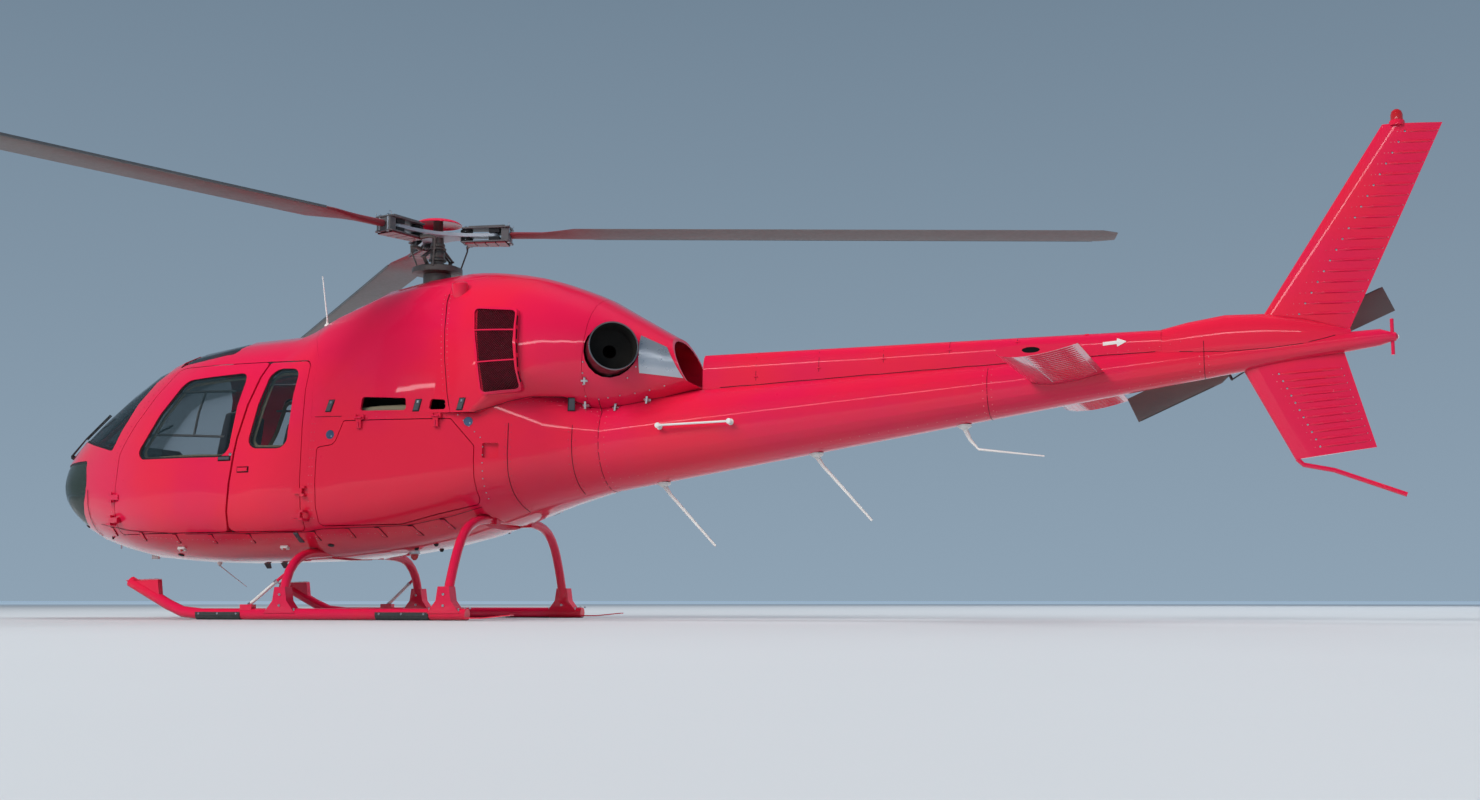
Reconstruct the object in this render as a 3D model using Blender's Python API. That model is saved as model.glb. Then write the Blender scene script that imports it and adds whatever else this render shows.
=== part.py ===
"""A light single-rotor helicopter on skids, modelled piece by piece at its real size.

Stations are measured in metres aft of the nose (x), to starboard of the plane of symmetry (y)
and above the ground (z). Everything hangs from one empty that puts the origin on the cabin floor.
"""

import math

import bmesh
import bpy
from mathutils import Matrix, Vector

# Driving dimensions
DATUM = Vector((2.20, 0.0, 0.63))
GAP = 0.0003
SEAM = 0.006
RING_POINTS = 28

MAST_X = 3.466
HUB_Z = 3.035
ROTOR_RADIUS = 5.345
BLADE_CHORD = 0.35
SLEEVE_END = 0.60
ROTOR_REST_DEG = (14.0, 134.0, 254.0)
BLADE_CONE_DEG = -1.2

WALL = 0.035
COWL_WALL = 0.022
FLOOR_TOP = 0.63
TREAD_STEP = 0.003
TREAD_PLATE = ((1.93, -0.55), (2.225, 0.55))
FLOOR_THICKNESS = 0.027
AFT_CABIN_X = 2.92
DECK_Z = 1.515
AFT_DECK_Z = 1.565
ENGINE_DECK_Z = 1.64
BOOM_START_X = 5.03
BOOM_END_X = 10.48
BOOM_START_RADIUS = 0.365
BOOM_END_RADIUS = 0.055
BOOM_START_Z = 1.32
BOOM_END_Z = 1.866

TAIL_HUB = Vector((9.70, 0.36, 1.83))
TAIL_RADIUS = 0.93
TAIL_CHORD = 0.185
TAIL_REST_DEG = -24.0

SKID_HALF_TRACK = 1.0
SKID_RADIUS = 0.042
TUBE_RADIUS = 0.036
FRONT_TUBE_X = 2.80
REAR_TUBE_X = 4.15

STABILISER_HALF_SPAN = 1.55
STABILISER_LE_X = 8.19
STABILISER_CHORD = 0.51

PAINT = (0.60, 0.012, 0.045, 1.0)
DARK_METAL = (0.10, 0.10, 0.11, 1.0)
BRIGHT_METAL = (0.55, 0.56, 0.58, 1.0)
BLADE_GREY = (0.16, 0.16, 0.17, 1.0)
PANE = (0.10, 0.16, 0.18, 0.35)
TRIM_DARK = (0.03, 0.03, 0.035, 1.0)
FLOOR_GREY = (0.18, 0.18, 0.19, 1.0)
SEAT_CLOTH = (0.05, 0.055, 0.07, 1.0)
LAMP_RED = (0.55, 0.01, 0.02, 1.0)


# Start from an empty scene
for old in list(bpy.data.objects):
    bpy.data.objects.remove(old)

parts = bpy.data.collections.new("helicopter")
cutters = bpy.data.collections.new("cutters")
bpy.context.scene.collection.children.link(parts)
bpy.context.scene.collection.children.link(cutters)

airframe = bpy.data.objects.new("airframe_datum", None)
airframe.location = -DATUM
parts.objects.link(airframe)


def material(name, colour, roughness, metallic):
    made = bpy.data.materials.new(name)
    made.use_nodes = True
    shader = made.node_tree.nodes["Principled BSDF"]
    shader.inputs["Base Color"].default_value = colour
    shader.inputs["Roughness"].default_value = roughness
    shader.inputs["Metallic"].default_value = metallic
    return made


def add(name, mesh, look, pivot=None):
    """A sub-part: its own object in the parts collection, with its own material. One that moves
    hangs from the empty on its joint's axis."""
    piece = bpy.data.objects.new(name, mesh)
    piece.parent = pivot or airframe
    if pivot:
        piece.location = -pivot.location
    parts.objects.link(piece)
    colour, roughness, metallic = look
    mesh.materials.clear()
    mesh.materials.append(material(name, colour, roughness, metallic))
    return piece


def pivot_at(name, point):
    """An empty on a joint's axis."""
    pivot = bpy.data.objects.new(name, None)
    pivot.parent = airframe
    pivot.location = point
    parts.objects.link(pivot)
    return pivot


def add_cutter(name, mesh):
    """A helper solid that Boolean modifiers use and that never renders."""
    helper = bpy.data.objects.new(name, mesh)
    helper.parent = airframe
    helper.hide_render = True
    helper.display_type = "WIRE"
    cutters.objects.link(helper)
    return helper


def boolean(piece, operation, *helpers):
    for helper in helpers:
        step = piece.modifiers.new(helper.name, "BOOLEAN")
        step.operation = operation
        step.object = helper
        step.solver = "EXACT"
    return piece


RED_PAINT = (PAINT, 0.25, 0.0)
STEEL = (BRIGHT_METAL, 0.35, 1.0)
DARK = (DARK_METAL, 0.5, 0.6)
GLAZING = (PANE, 0.05, 0.0)
MATTE = (TRIM_DARK, 0.7, 0.0)


# Smooth lines through a few points, and lofted rings
def along(points, x):
    """The value at x of a smooth line through (x, value) points that never overshoots them."""
    if x <= points[0][0]:
        return points[0][1]
    if x >= points[-1][0]:
        return points[-1][1]
    slopes = []
    for (x0, v0), (x1, v1) in zip(points, points[1:]):
        slopes.append((v1 - v0) / (x1 - x0))
    tangents = [slopes[0]]
    for before, after in zip(slopes, slopes[1:]):
        same_way = before * after > 0
        tangents.append(2 * before * after / (before + after) if same_way else 0.0)
    tangents.append(slopes[-1])
    for i, ((x0, v0), (x1, v1)) in enumerate(zip(points, points[1:])):
        if x <= x1:
            span = x1 - x0
            t = (x - x0) / span
            blend = t * t * (3 - 2 * t)
            bend_0 = tangents[i] * span * t * (1 - t) ** 2
            bend_1 = tangents[i + 1] * span * t * t * (1 - t)
            return v0 + (v1 - v0) * blend + bend_0 - bend_1
    return points[-1][1]


def power(value, exponent):
    return math.copysign(abs(value) ** exponent, value)


def oval_ring(x, half_width, top, waist, bottom, upper=2.0, lower=2.0, count=RING_POINTS):
    """A ring across the body: two half super-ellipses that meet at the waist height."""
    ring = []
    for i in range(count):
        angle = 2 * math.pi * i / count
        c, s = math.cos(angle), math.sin(angle)
        sharpness = upper if s >= 0 else lower
        reach = top - waist if s >= 0 else waist - bottom
        y = half_width * power(c, 2 / sharpness)
        z = waist + reach * power(s, 2 / sharpness)
        ring.append(Vector((x, y, z)))
    return ring


def loft(name, rings, split=False):
    """A closed solid skinned over rings of equally many points, with flat ends. split makes two
    triangles of each side face, so that two lofts a hair apart bend along the same lines."""
    mesh = bpy.data.meshes.new(name)
    shape = bmesh.new()
    rows = [[shape.verts.new(point) for point in ring] for ring in rings]
    for row, following in zip(rows, rows[1:]):
        for i in range(len(row)):
            j = (i + 1) % len(row)
            if split:
                shape.faces.new((row[i], row[j], following[j]))
                shape.faces.new((row[i], following[j], following[i]))
            else:
                shape.faces.new((row[i], row[j], following[j], following[i]))
    shape.faces.new(rows[0])
    shape.faces.new(list(reversed(rows[-1])))
    bmesh.ops.recalc_face_normals(shape, faces=shape.faces)
    if shape.calc_volume(signed=True) < 0:
        bmesh.ops.reverse_faces(shape, faces=shape.faces)
    shape.to_mesh(mesh)
    shape.free()
    mesh.shade_smooth()
    mesh.set_sharp_from_angle(angle=math.radians(35))
    return mesh


def rounded(corners, radius=0.0, steps=4):
    """A closed outline with each corner replaced by an arc. A corner is (a, b) or (a, b, its radius)."""
    outline = []
    for i, corner in enumerate(corners):
        here = Vector(corner[:2])
        size = corner[2] if len(corner) > 2 else radius
        before = (Vector(corners[i - 1][:2]) - here).normalized()
        after = (Vector(corners[(i + 1) % len(corners)][:2]) - here).normalized()
        half = before.angle(after) / 2
        if size <= 0 or half > math.radians(88):
            outline.append(here)
            continue
        reach = size / math.tan(half)
        centre = here + (before + after).normalized() * size / math.sin(half)
        start = here + before * reach - centre
        turn = start.angle_signed(here + after * reach - centre)
        for k in range(steps + 1):
            outline.append(centre + Matrix.Rotation(-turn * k / steps, 2) @ start)
    return outline


def prism(name, outline, low, high, axis="Y"):
    """An outline given in the side view (x, z), pushed through from low to high along an axis.
    With axis Z the outline is in plan (x, y), and with axis X it is in the end view (y, z)."""
    def place(point, depth):
        if axis == "Y":
            return Vector((point[0], depth, point[1]))
        if axis == "Z":
            return Vector((point[0], point[1], depth))
        return Vector((depth, point[0], point[1]))

    rings = [[place(point, depth) for point in outline] for depth in (low, high)]
    return loft(name, rings)


def box(name, low, high):
    corners = [(low[0], low[2]), (high[0], low[2]), (high[0], high[2]), (low[0], high[2])]
    return prism(name, corners, low[1], high[1])


def turned(profile, axis_point, axis, count=32):
    """A closed solid of revolution from (radius, distance along the axis) pairs, with flat ends."""
    turn = Vector((0, 0, 1)).rotation_difference(Vector(axis)).to_matrix()
    rings = []
    for radius, height in profile:
        ring = []
        for i in range(count):
            angle = 2 * math.pi * i / count
            spoke = Vector((radius * math.cos(angle), radius * math.sin(angle), height))
            ring.append(Vector(axis_point) + turn @ spoke)
        rings.append(ring)
    return loft("turned", rings)


def smooth_route(points, per_span=4):
    """Points along a smooth curve through the given ones."""
    route = []
    ends = [points[0]] + list(points) + [points[-1]]
    for i in range(len(points) - 1):
        a, b, c, d = (Vector(p) for p in ends[i:i + 4])
        for k in range(per_span):
            t = k / per_span
            route.append(
                b + (c - a) * (t / 2)
                + (a * 2 - b * 5 + c * 4 - d) * (t * t / 2)
                + (b * 3 - a - c * 3 + d) * (t ** 3 / 2)
            )
    route.append(Vector(points[-1]))
    return route


def tube(route, radius, count=10, radii=None):
    """A solid round bar along a route. Each ring stands square to the route there."""
    rings = []
    side = None
    for i, point in enumerate(route):
        ahead = route[min(i + 1, len(route) - 1)] - route[max(i - 1, 0)]
        ahead.normalize()
        if side is None:
            helper = Vector((0, 0, 1)) if abs(ahead.z) < 0.9 else Vector((1, 0, 0))
            side = ahead.cross(helper).normalized()
        side = (side - ahead * side.dot(ahead)).normalized()
        up = side.cross(ahead)
        r = radii[i] if radii else radius
        ring = []
        for k in range(count):
            angle = 2 * math.pi * k / count
            ring.append(point + side * (r * math.cos(angle)) + up * (r * math.sin(angle)))
        rings.append(ring)
    return loft("tube", rings)


def wing_ring(le, te, across, thickness, count=12, camber=0.0, outset=0.0):
    """A ring with a rounded nose and a thin blunt tail, from leading edge to trailing edge."""
    le, te, across = Vector(le), Vector(te), Vector(across).normalized()
    margin = (te - le).normalized() * outset
    le, te = le - margin, te + margin
    chord = te - le
    upper, lower = [], []
    for i in range(count + 1):
        s = (1 - math.cos(math.pi * i / count)) / 2
        fat = 2.97 * math.sqrt(s) - 1.26 * s - 3.52 * s ** 2 + 2.84 * s ** 3 - 1.01 * s ** 4
        half = max(thickness * fat / 2, thickness * 0.04) + outset
        line = le + chord * s + across * (camber * 4 * s * (1 - s))
        upper.append(line + across * half)
        lower.append(line - across * half)
    return upper + list(reversed(lower[1:]))


def joined(name, meshes):
    """Meshes united into one closed solid."""
    first = bpy.data.objects.new(name, meshes[0])
    cutters.objects.link(first)
    helpers = []
    for mesh in meshes[1:]:
        helper = bpy.data.objects.new(name + "_joined", mesh)
        cutters.objects.link(helper)
        step = first.modifiers.new("join", "BOOLEAN")
        step.operation = "UNION"
        step.object = helper
        step.solver = "EXACT"
        helpers.append(helper)
    bpy.context.view_layer.update()
    graph = bpy.context.evaluated_depsgraph_get()
    union = bpy.data.meshes.new_from_object(first.evaluated_get(graph))
    for helper in [first] + helpers:
        bpy.data.objects.remove(helper)
    return union


# The body's lines, each a smooth line through (x, value) points
BODY_HALF_WIDTH = (
    (0.0, 0.03), (0.02, 0.09), (0.07, 0.17), (0.15, 0.26), (0.37, 0.44), (0.68, 0.60), (1.0, 0.73),
    (1.4, 0.85), (1.9, 0.92), (2.5, 0.935), (3.0, 0.92), (3.4, 0.89), (3.9, 0.82), (4.3, 0.70),
    (4.7, 0.50), (5.03, 0.365),
)
BODY_TOP = (
    (0.0, 1.12), (0.02, 1.20), (0.06, 1.28), (0.15, 1.38), (0.4, 1.58), (0.8, 1.86), (1.2, 2.08),
    (1.6, 2.20), (2.1, 2.25), (2.45, 2.26), (2.65, 2.34), (2.85, 2.45), (3.2, 2.59), (3.55, 2.66),
    (3.9, 2.70), (4.2, 2.45), (4.5, 2.12), (4.8, 1.83), (5.03, 1.685),
)
BODY_WAIST = (
    (0.0, 1.10), (0.4, 1.06), (1.0, 1.02), (2.6, 1.02), (3.4, 1.05), (3.9, 1.10), (4.5, 1.21),
    (5.03, 1.32),
)
BODY_BOTTOM = (
    (0.0, 1.08), (0.02, 1.01), (0.06, 0.94), (0.15, 0.85), (0.37, 0.71), (0.68, 0.585), (1.2, 0.475),
    (1.8, 0.44), (2.6, 0.45), (3.2, 0.50), (3.8, 0.60), (4.3, 0.745), (4.7, 0.87), (5.03, 0.955),
)
BODY_UPPER_POWER = ((0.0, 2.0), (1.0, 2.2), (1.8, 2.35), (3.9, 2.35), (4.6, 2.1), (5.03, 2.0))
BODY_LOWER_POWER = ((0.0, 2.0), (0.8, 2.5), (1.6, 3.0), (3.2, 2.8), (4.2, 2.3), (5.03, 2.0))
BODY_STATIONS = (
    0.0, 0.02, 0.07, 0.15, 0.27, 0.42, 0.62, 0.86, 1.15, 1.5, 1.9, 2.45, 2.65, 2.85, 3.2, 3.55, 3.9,
    4.3, 4.65, BOOM_START_X,
)

# The engine cowl leaves the body's lines behind the mast, where the body tucks in below it
COWL_HALF_WIDTH = ((3.9, 0.82), (4.3, 0.76), (4.7, 0.65), (5.03, 0.53), (5.4, 0.40), (5.76, 0.26))
COWL_TOP = (
    (2.45, 2.26), (2.65, 2.34), (2.85, 2.45), (3.2, 2.59), (3.55, 2.66), (3.9, 2.70), (4.35, 2.65),
    (4.93, 2.46), (5.3, 2.25), (5.76, 1.98),
)
COWL_WAIST = ((3.9, 1.10), (4.1, 1.42), (4.3, 1.66), (4.5, 1.80), (4.7, 1.89), (5.03, 1.93), (5.76, 1.82))
COWL_BOTTOM = ((3.9, 0.60), (4.1, 1.20), (4.3, 1.44), (4.5, 1.50), (4.7, 1.51), (5.03, 1.50), (5.4, 1.56),
               (5.76, 1.69))
COWL_LOWER_POWER = ((3.9, 2.3), (4.3, 2.0))
COWL_STATIONS = (2.4, 2.5, 2.65, 2.85, 3.2, 3.55, 3.9, 4.0, 4.1, 4.2, 4.35, 4.5, 4.65, 4.8, 4.92, 5.03, 5.25,
                 5.5, 5.76)


def body_ring(x, inset=0.0):
    half_width = max(along(BODY_HALF_WIDTH, x) - inset, 0.02)
    waist = along(BODY_WAIST, x)
    top = max(along(BODY_TOP, x) - inset, waist + 0.01)
    bottom = min(along(BODY_BOTTOM, x) + inset, waist - 0.01)
    upper, lower = along(BODY_UPPER_POWER, x), along(BODY_LOWER_POWER, x)
    return oval_ring(x, half_width, top, waist, bottom, upper, lower)


def cowl_ring(x, inset=0.0):
    if x < COWL_HALF_WIDTH[0][0]:
        return body_ring(x, inset)
    waist = along(COWL_WAIST, x)
    half_width = along(COWL_HALF_WIDTH, x) - inset
    top, bottom = along(COWL_TOP, x) - inset, along(COWL_BOTTOM, x) + inset
    return oval_ring(x, half_width, top, waist, bottom, 2.3, along(COWL_LOWER_POWER, x))


def body_solid(name, inset=0.0, start=0.0, end=BOOM_START_X, split=False):
    stations = [start] + [x for x in BODY_STATIONS if start < x < end] + [end]
    return loft(name, [body_ring(x, inset) for x in stations], split)


def cowl_solid(name, inset=0.0, end=5.76):
    stations = [x for x in COWL_STATIONS if x < end] + [end]
    return loft(name, [cowl_ring(x, inset) for x in stations], split=True)


def boom_radius(x):
    share = (x - BOOM_START_X) / (BOOM_END_X - BOOM_START_X)
    return BOOM_START_RADIUS + (BOOM_END_RADIUS - BOOM_START_RADIUS) * share


def boom_z(x):
    share = (x - BOOM_START_X) / (BOOM_END_X - BOOM_START_X)
    return BOOM_START_Z + (BOOM_END_Z - BOOM_START_Z) * share


def boom_ring(x, outset=0.0, count=28):
    radius, z = boom_radius(x) + outset, boom_z(x)
    return oval_ring(x, radius, z + radius, z, z - radius, count=count)


# Outlines in the side view
FRONT_DOOR = ((1.03, 0.655, 0.05), (1.075, 1.31, 0.3), (1.50, 1.985, 0.12), (2.395, 1.985, 0.03),
              (2.265, 1.25, 1.2), (2.195, 0.655, 0.05))
REAR_DOOR = ((2.201, 0.655, 0.05), (2.271, 1.25, 1.2), (2.401, 1.981, 0.03), (2.825, 1.961, 0.06),
             (2.86, 1.40, 1.0), (2.868, 0.655, 0.05))
DOORWAY = ((1.03, 0.655, 0.05), (1.075, 1.31, 0.3), (1.50, 1.985, 0.12), (2.395, 1.985),
           (2.825, 1.965, 0.06), (2.86, 1.40, 1.0), (2.868, 0.655, 0.05))
FRONT_WINDOW = ((1.27, 1.235, 0.06), (1.655, 1.865, 0.10), (2.25, 1.90, 0.07), (2.225, 1.225, 0.12))
REAR_WINDOW = ((2.385, 1.285, 0.07), (2.465, 1.92, 0.10), (2.735, 1.90, 0.07), (2.735, 1.275, 0.09))
WINDSCREEN = ((-0.1, 1.56), (0.955, 1.325, 0.03), (1.32, 2.03, 0.06), (1.10, 2.40), (-0.1, 2.40))
CHIN_WINDOW = ((-0.1, 1.26), (0.40, 1.27, 0.10), (0.60, 1.27, 0.04), (0.645, 1.05, 0.25),
               (0.52, 0.72, 0.06), (-0.1, 0.86))
ROOF_WINDOW = ((1.42, 0.14, 0.05), (1.42, 0.50, 0.05), (1.98, 0.53, 0.05), (1.98, 0.14, 0.05))
BAGGAGE_DOOR = ((2.985, 0.69, 0.04), (2.985, 1.28, 0.03), (3.13, 1.30, 0.06), (3.20, 1.475, 0.02),
                (4.03, 1.475, 0.03), (4.205, 1.27, 0.04), (4.205, 0.85, 0.06), (3.60, 0.70, 0.3))
FILLER_RECESS = ((4.26, 1.18, 0.01), (4.26, 1.29, 0.01), (4.37, 1.29, 0.01), (4.37, 1.18, 0.01))
FILLER_DEPTH = 0.03
CABIN_SIDE = ((-0.2, 0.2), (AFT_CABIN_X, 0.2), (AFT_CABIN_X, DECK_Z), (2.88, 1.99), (2.47, 2.60),
              (-0.2, 2.60))
COWL_SPLIT_X = 4.035
COWL_SPLIT_TOP = (3.76, 2.90)
REAR_SPLIT = ((5.055, 2.90), (4.95, AFT_DECK_Z + GAP))


def grown(outline, amount):
    """An outline moved outwards by an amount, or inwards if it is negative."""
    area = sum(a[0] * b[1] - b[0] * a[1] for a, b in zip(outline, outline[1:] + outline[:1]))
    away = 1 if area > 0 else -1
    moved = []
    for i, here in enumerate(outline):
        back = (here - outline[i - 1]).normalized()
        ahead = (outline[(i + 1) % len(outline)] - here).normalized()
        normal = Vector((back.y + ahead.y, -back.x - ahead.x)).normalized()
        stretch = 1 / max(normal.dot(Vector((ahead.y, -ahead.x))), 0.5)
        moved.append(here + normal * amount * stretch * away)
    return moved


def side_cutter(name, corners, side, growth=0.0, inner=0.25, outer=1.2, steps=4):
    """A prism through one side of the body. side is -1 for port and 1 for starboard."""
    outline = grown(rounded(corners, steps=steps), growth)
    low, high = sorted((side * inner, side * outer))
    return add_cutter(name, prism(name, outline, low, high))


SIDES = (("left", -1), ("right", 1))

body_cavity = add_cutter("body_cavity", body_solid("body_cavity", WALL, 0.05, 3.2, True))
cowl_cavity = add_cutter("cowl_cavity", cowl_solid("cowl_cavity", COWL_WALL, 5.72))


def skin_panel(name, look, outline, inset, thickness, pivot=None):
    """A thin curved plate cut from the body's skin, with its outer face set in by inset."""
    panel = add(name, body_solid(name, inset, 0.01), look, pivot)
    inner = add_cutter(name + "_inner", body_solid(name + "_inner", inset + thickness, 0.05, 3.2))
    return boolean(boolean(panel, "INTERSECT", outline), "DIFFERENCE", inner)


# Fuselage
def cross_tube_route(x, points):
    """A landing gear arch, from the port skid up, across under the floor and down to the other skid."""
    half = smooth_route([Vector((x, -y, z)) for y, z in points], 2)
    other = [Vector((p.x, -p.y, p.z)) for p in reversed(half)]
    return half + other


FRONT_TUBE_HALF = ((1.0, 0.10), (0.985, 0.22), (0.93, 0.35), (0.82, 0.45), (0.68, 0.492), (0.50, 0.505),
                   (0.25, 0.515))
REAR_TUBE_HALF = ((1.0, 0.10), (0.95, 0.26), (0.885, 0.42), (0.80, 0.57), (0.68, 0.68), (0.50, 0.735),
                  (0.25, 0.755))
front_route = cross_tube_route(FRONT_TUBE_X, FRONT_TUBE_HALF)
rear_route = cross_tube_route(REAR_TUBE_X, REAR_TUBE_HALF)
front_channel = add_cutter("front_tube_channel", tube(front_route, TUBE_RADIUS + 0.014, 8))
rear_channel = add_cutter("rear_tube_channel", tube(rear_route, TUBE_RADIUS + 0.014, 8))

cabin = add("cabin_shell", body_solid("cabin_shell"), RED_PAINT)
boolean(cabin, "DIFFERENCE", body_cavity)
boolean(cabin, "INTERSECT", add_cutter("cabin_side", prism("cabin_side", rounded(CABIN_SIDE), -1.3, 1.3)))
for word, side in SIDES:
    boolean(
        cabin,
        "DIFFERENCE",
        side_cutter(f"doorway_{word}", DOORWAY, side),
        side_cutter(f"windscreen_opening_{word}", WINDSCREEN, side, inner=0.028),
        side_cutter(f"chin_opening_{word}", CHIN_WINDOW, side, inner=0.11),
    )
    roof = rounded([(a, side * b, r) for a, b, r in ROOF_WINDOW])
    roof_hole = add_cutter(f"roof_opening_{word}", prism("roof_opening", roof, 1.7, 2.6, "Z"))
    boolean(cabin, "DIFFERENCE", roof_hole)
    side_panes = (("windscreen", WINDSCREEN, 0.028), ("chin_window", CHIN_WINDOW, 0.11))
    for label, corners, inner in side_panes:
        cut = side_cutter(f"{label}_pane_{word}", corners, side, -GAP, inner + GAP)
        skin_panel(f"{label}_{word}", GLAZING, cut, 0.012, 0.006)
    roof_cut = add_cutter(f"roof_pane_{word}", prism("roof_pane", grown(roof, -GAP), 1.7, 2.6, "Z"))
    skin_panel(f"roof_window_{word}", GLAZING, roof_cut, 0.012, 0.006)
boolean(cabin, "DIFFERENCE", front_channel)

# The deck rises under the engines and falls again before the tail boom: (station, height)
AFT_DECK = ((4.22, DECK_Z), (4.42, 1.60), (4.58, ENGINE_DECK_Z), (4.80, ENGINE_DECK_Z), (4.95, AFT_DECK_Z))
under_deck = ((AFT_CABIN_X + GAP, DECK_Z), (AFT_CABIN_X + GAP, 0.2), (BOOM_START_X - GAP, 0.2),
              (BOOM_START_X - GAP, AFT_DECK_Z)) + AFT_DECK[::-1]
centre = add("centre_fuselage", body_solid("centre_fuselage"), RED_PAINT)
boolean(centre, "INTERSECT", add_cutter("centre_side", prism("centre_side", rounded(under_deck), -1.3, 1.3)))

# Baggage bays: a hollow either side of the central tank space, each behind a door hinged along its top
lid_inner = add_cutter("lid_inner", body_solid("lid_inner", WALL, 2.5, 4.9))
recess_floor = add_cutter("recess_floor", body_solid("recess_floor", WALL + 0.002, 2.5, 4.9))
bay_skin = add_cutter("bay_skin", body_solid("bay_skin", WALL - 0.003, 2.5, 4.9))
BAY = ((2.955, 0.62), (2.955, DECK_Z - 0.03), (4.0, DECK_Z - 0.03), (4.05, 1.44), (4.05, 0.62))
for word, side in SIDES:
    low, high = sorted((side * 0.30, side * 1.2))
    bay = add_cutter(f"baggage_bay_{word}", prism("bay", rounded(BAY), low, high))
    boolean(bay, "INTERSECT", bay_skin)
    opening = side_cutter(f"baggage_opening_{word}", BAGGAGE_DOOR, side, inner=0.3)
    boolean(opening, "DIFFERENCE", recess_floor)
    boolean(centre, "DIFFERENCE", bay, opening)
boolean(centre, "DIFFERENCE", rear_channel)
filler_skin = add_cutter("filler_skin", body_solid("filler_skin", FILLER_DEPTH, 4.0, 4.6))
filler = side_cutter("filler_recess", FILLER_RECESS, -1, inner=0.4)
boolean(centre, "DIFFERENCE", boolean(filler, "DIFFERENCE", filler_skin))

# Doors: the wall itself, cut along its seams
HINGE_STANDOFF = 0.012


def skin_y(x, z):
    """How far the body's skin stands from the plane of symmetry at a station and height."""
    waist, upper = along(BODY_WAIST, x), z >= along(BODY_WAIST, x)
    reach = along(BODY_TOP, x) - waist if upper else waist - along(BODY_BOTTOM, x)
    sharpness = along(BODY_UPPER_POWER if upper else BODY_LOWER_POWER, x)
    share = min(abs(z - waist) / reach, 1)
    return along(BODY_HALF_WIDTH, x) * (1 - share ** sharpness) ** (1 / sharpness)


def hinge_leaf(name, hinge, pin, reach, outward, outline, low, high):
    """One leaf of a hinge: an outline in (reach, outward) round the pin, from low to high along it."""
    turn = Matrix((reach, outward, pin)).transposed().to_4x4()
    leaf = prism(name, outline, low, high, "Z")
    leaf.transform(Matrix.Translation(hinge) @ turn)
    if turn.determinant() < 0:
        leaf.flip_normals()
    return add_cutter(name, leaf)


PIN_RADIUS = 0.008
LEAF_WIDTH = 0.04
LEAF_ROOT = 0.022


def hang(moving, fixed, hinge, pin, reach, outward, stations):
    """Hinges along a pin: a leaf on the moving piece between two on the fixed one."""
    for k, along_pin in enumerate(stations):
        at = hinge + pin * along_pin
        skin = [skin_y((at + reach * away).x, (at + reach * away).z) for away in (0.05, -0.02)]
        root, foot = (abs(at.y) - y + LEAF_ROOT for y in skin)
        swinging = [(-PIN_RADIUS, -0.005), (-PIN_RADIUS, PIN_RADIUS), (0.07, PIN_RADIUS), (0.07, -root),
                    (0.034, -root), (0.034, -0.005)]
        standing = [(PIN_RADIUS, -0.004), (PIN_RADIUS, PIN_RADIUS), (-0.030, PIN_RADIUS), (-0.030, -foot),
                    (-0.012, -foot), (-0.012, -0.004)]
        low, high = along_pin - LEAF_WIDTH / 2, along_pin + LEAF_WIDTH / 2
        frame = (hinge, pin, reach, outward)
        boolean(moving, "UNION", hinge_leaf(f"{moving.name}_leaf_{k}", *frame, swinging, low, high))
        boolean(
            fixed,
            "UNION",
            hinge_leaf(f"{moving.name}_under_{k}", *frame, standing, low - 0.02, low - GAP),
            hinge_leaf(f"{moving.name}_over_{k}", *frame, standing, high + GAP, high + 0.02),
        )


REAR_HINGE_TILT_DEG = 4.0
FRONT_HINGE = Vector((1.03, skin_y(1.05, 0.95) + HINGE_STANDOFF, 0.95))
REAR_HINGE = Vector((2.885, skin_y(2.87, 0.95) + HINGE_STANDOFF, 0.95))
LID_HINGE_Z = 1.482
LID_HINGE, LID_HINGE_AFT = (
    Vector((x, skin_y(x, LID_HINGE_Z) + HINGE_STANDOFF, LID_HINGE_Z)) for x in (3.33, 3.93)
)
tilt = math.radians(REAR_HINGE_TILT_DEG)
for word, side in SIDES:
    leaning = Vector((0, -side * math.sin(tilt), math.cos(tilt)))
    for label, corners, window, hinge, pin, reach_x in (
        ("front_door", FRONT_DOOR, FRONT_WINDOW, FRONT_HINGE, Vector((0, 0, 1)), 1),
        ("rear_door", REAR_DOOR, REAR_WINDOW, REAR_HINGE, leaning, -1),
    ):
        at = Vector((hinge.x, side * hinge.y, hinge.z))
        pivot = pivot_at(f"{label}_hinge_{word}", at)
        door = add(f"{label}_{word}", body_solid(f"{label}_{word}"), RED_PAINT, pivot)
        boolean(door, "DIFFERENCE", body_cavity)
        boolean(door, "INTERSECT", side_cutter(f"{label}_cut_{word}", corners, side, -SEAM))
        boolean(door, "DIFFERENCE", side_cutter(f"{label}_window_{word}", window, side))
        pane = side_cutter(f"{label}_pane_{word}", window, side, -GAP)
        skin_panel(f"{label}_glass_{word}", GLAZING, pane, 0.014, 0.006, pivot)
        reach = Vector((reach_x, 0, 0))
        outward = Vector((0, side * pin.z, side * -pin.y))
        outward = outward if outward.y * side > 0 else -outward
        hang(door, cabin, at, pin, reach, outward, (-0.18, 0.0))
    first = Vector((LID_HINGE.x, side * LID_HINGE.y, LID_HINGE.z))
    last = Vector((LID_HINGE_AFT.x, side * LID_HINGE_AFT.y, LID_HINGE_AFT.z))
    pin = (last - first).normalized()
    pivot = pivot_at(f"baggage_door_hinge_{word}", first)
    lid = add(f"baggage_door_{word}", body_solid(f"baggage_door_{word}"), RED_PAINT, pivot)
    boolean(lid, "DIFFERENCE", lid_inner)
    boolean(lid, "INTERSECT", side_cutter(f"lid_cut_{word}", BAGGAGE_DOOR, side, -SEAM, 0.3))
    away = Vector((-pin.y * side, pin.x * side, 0)) * (1 if pin.x > 0 else -1)
    hang(lid, centre, first, pin, Vector((0, 0, -1)), away, (0.0, (last - first).length))

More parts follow.
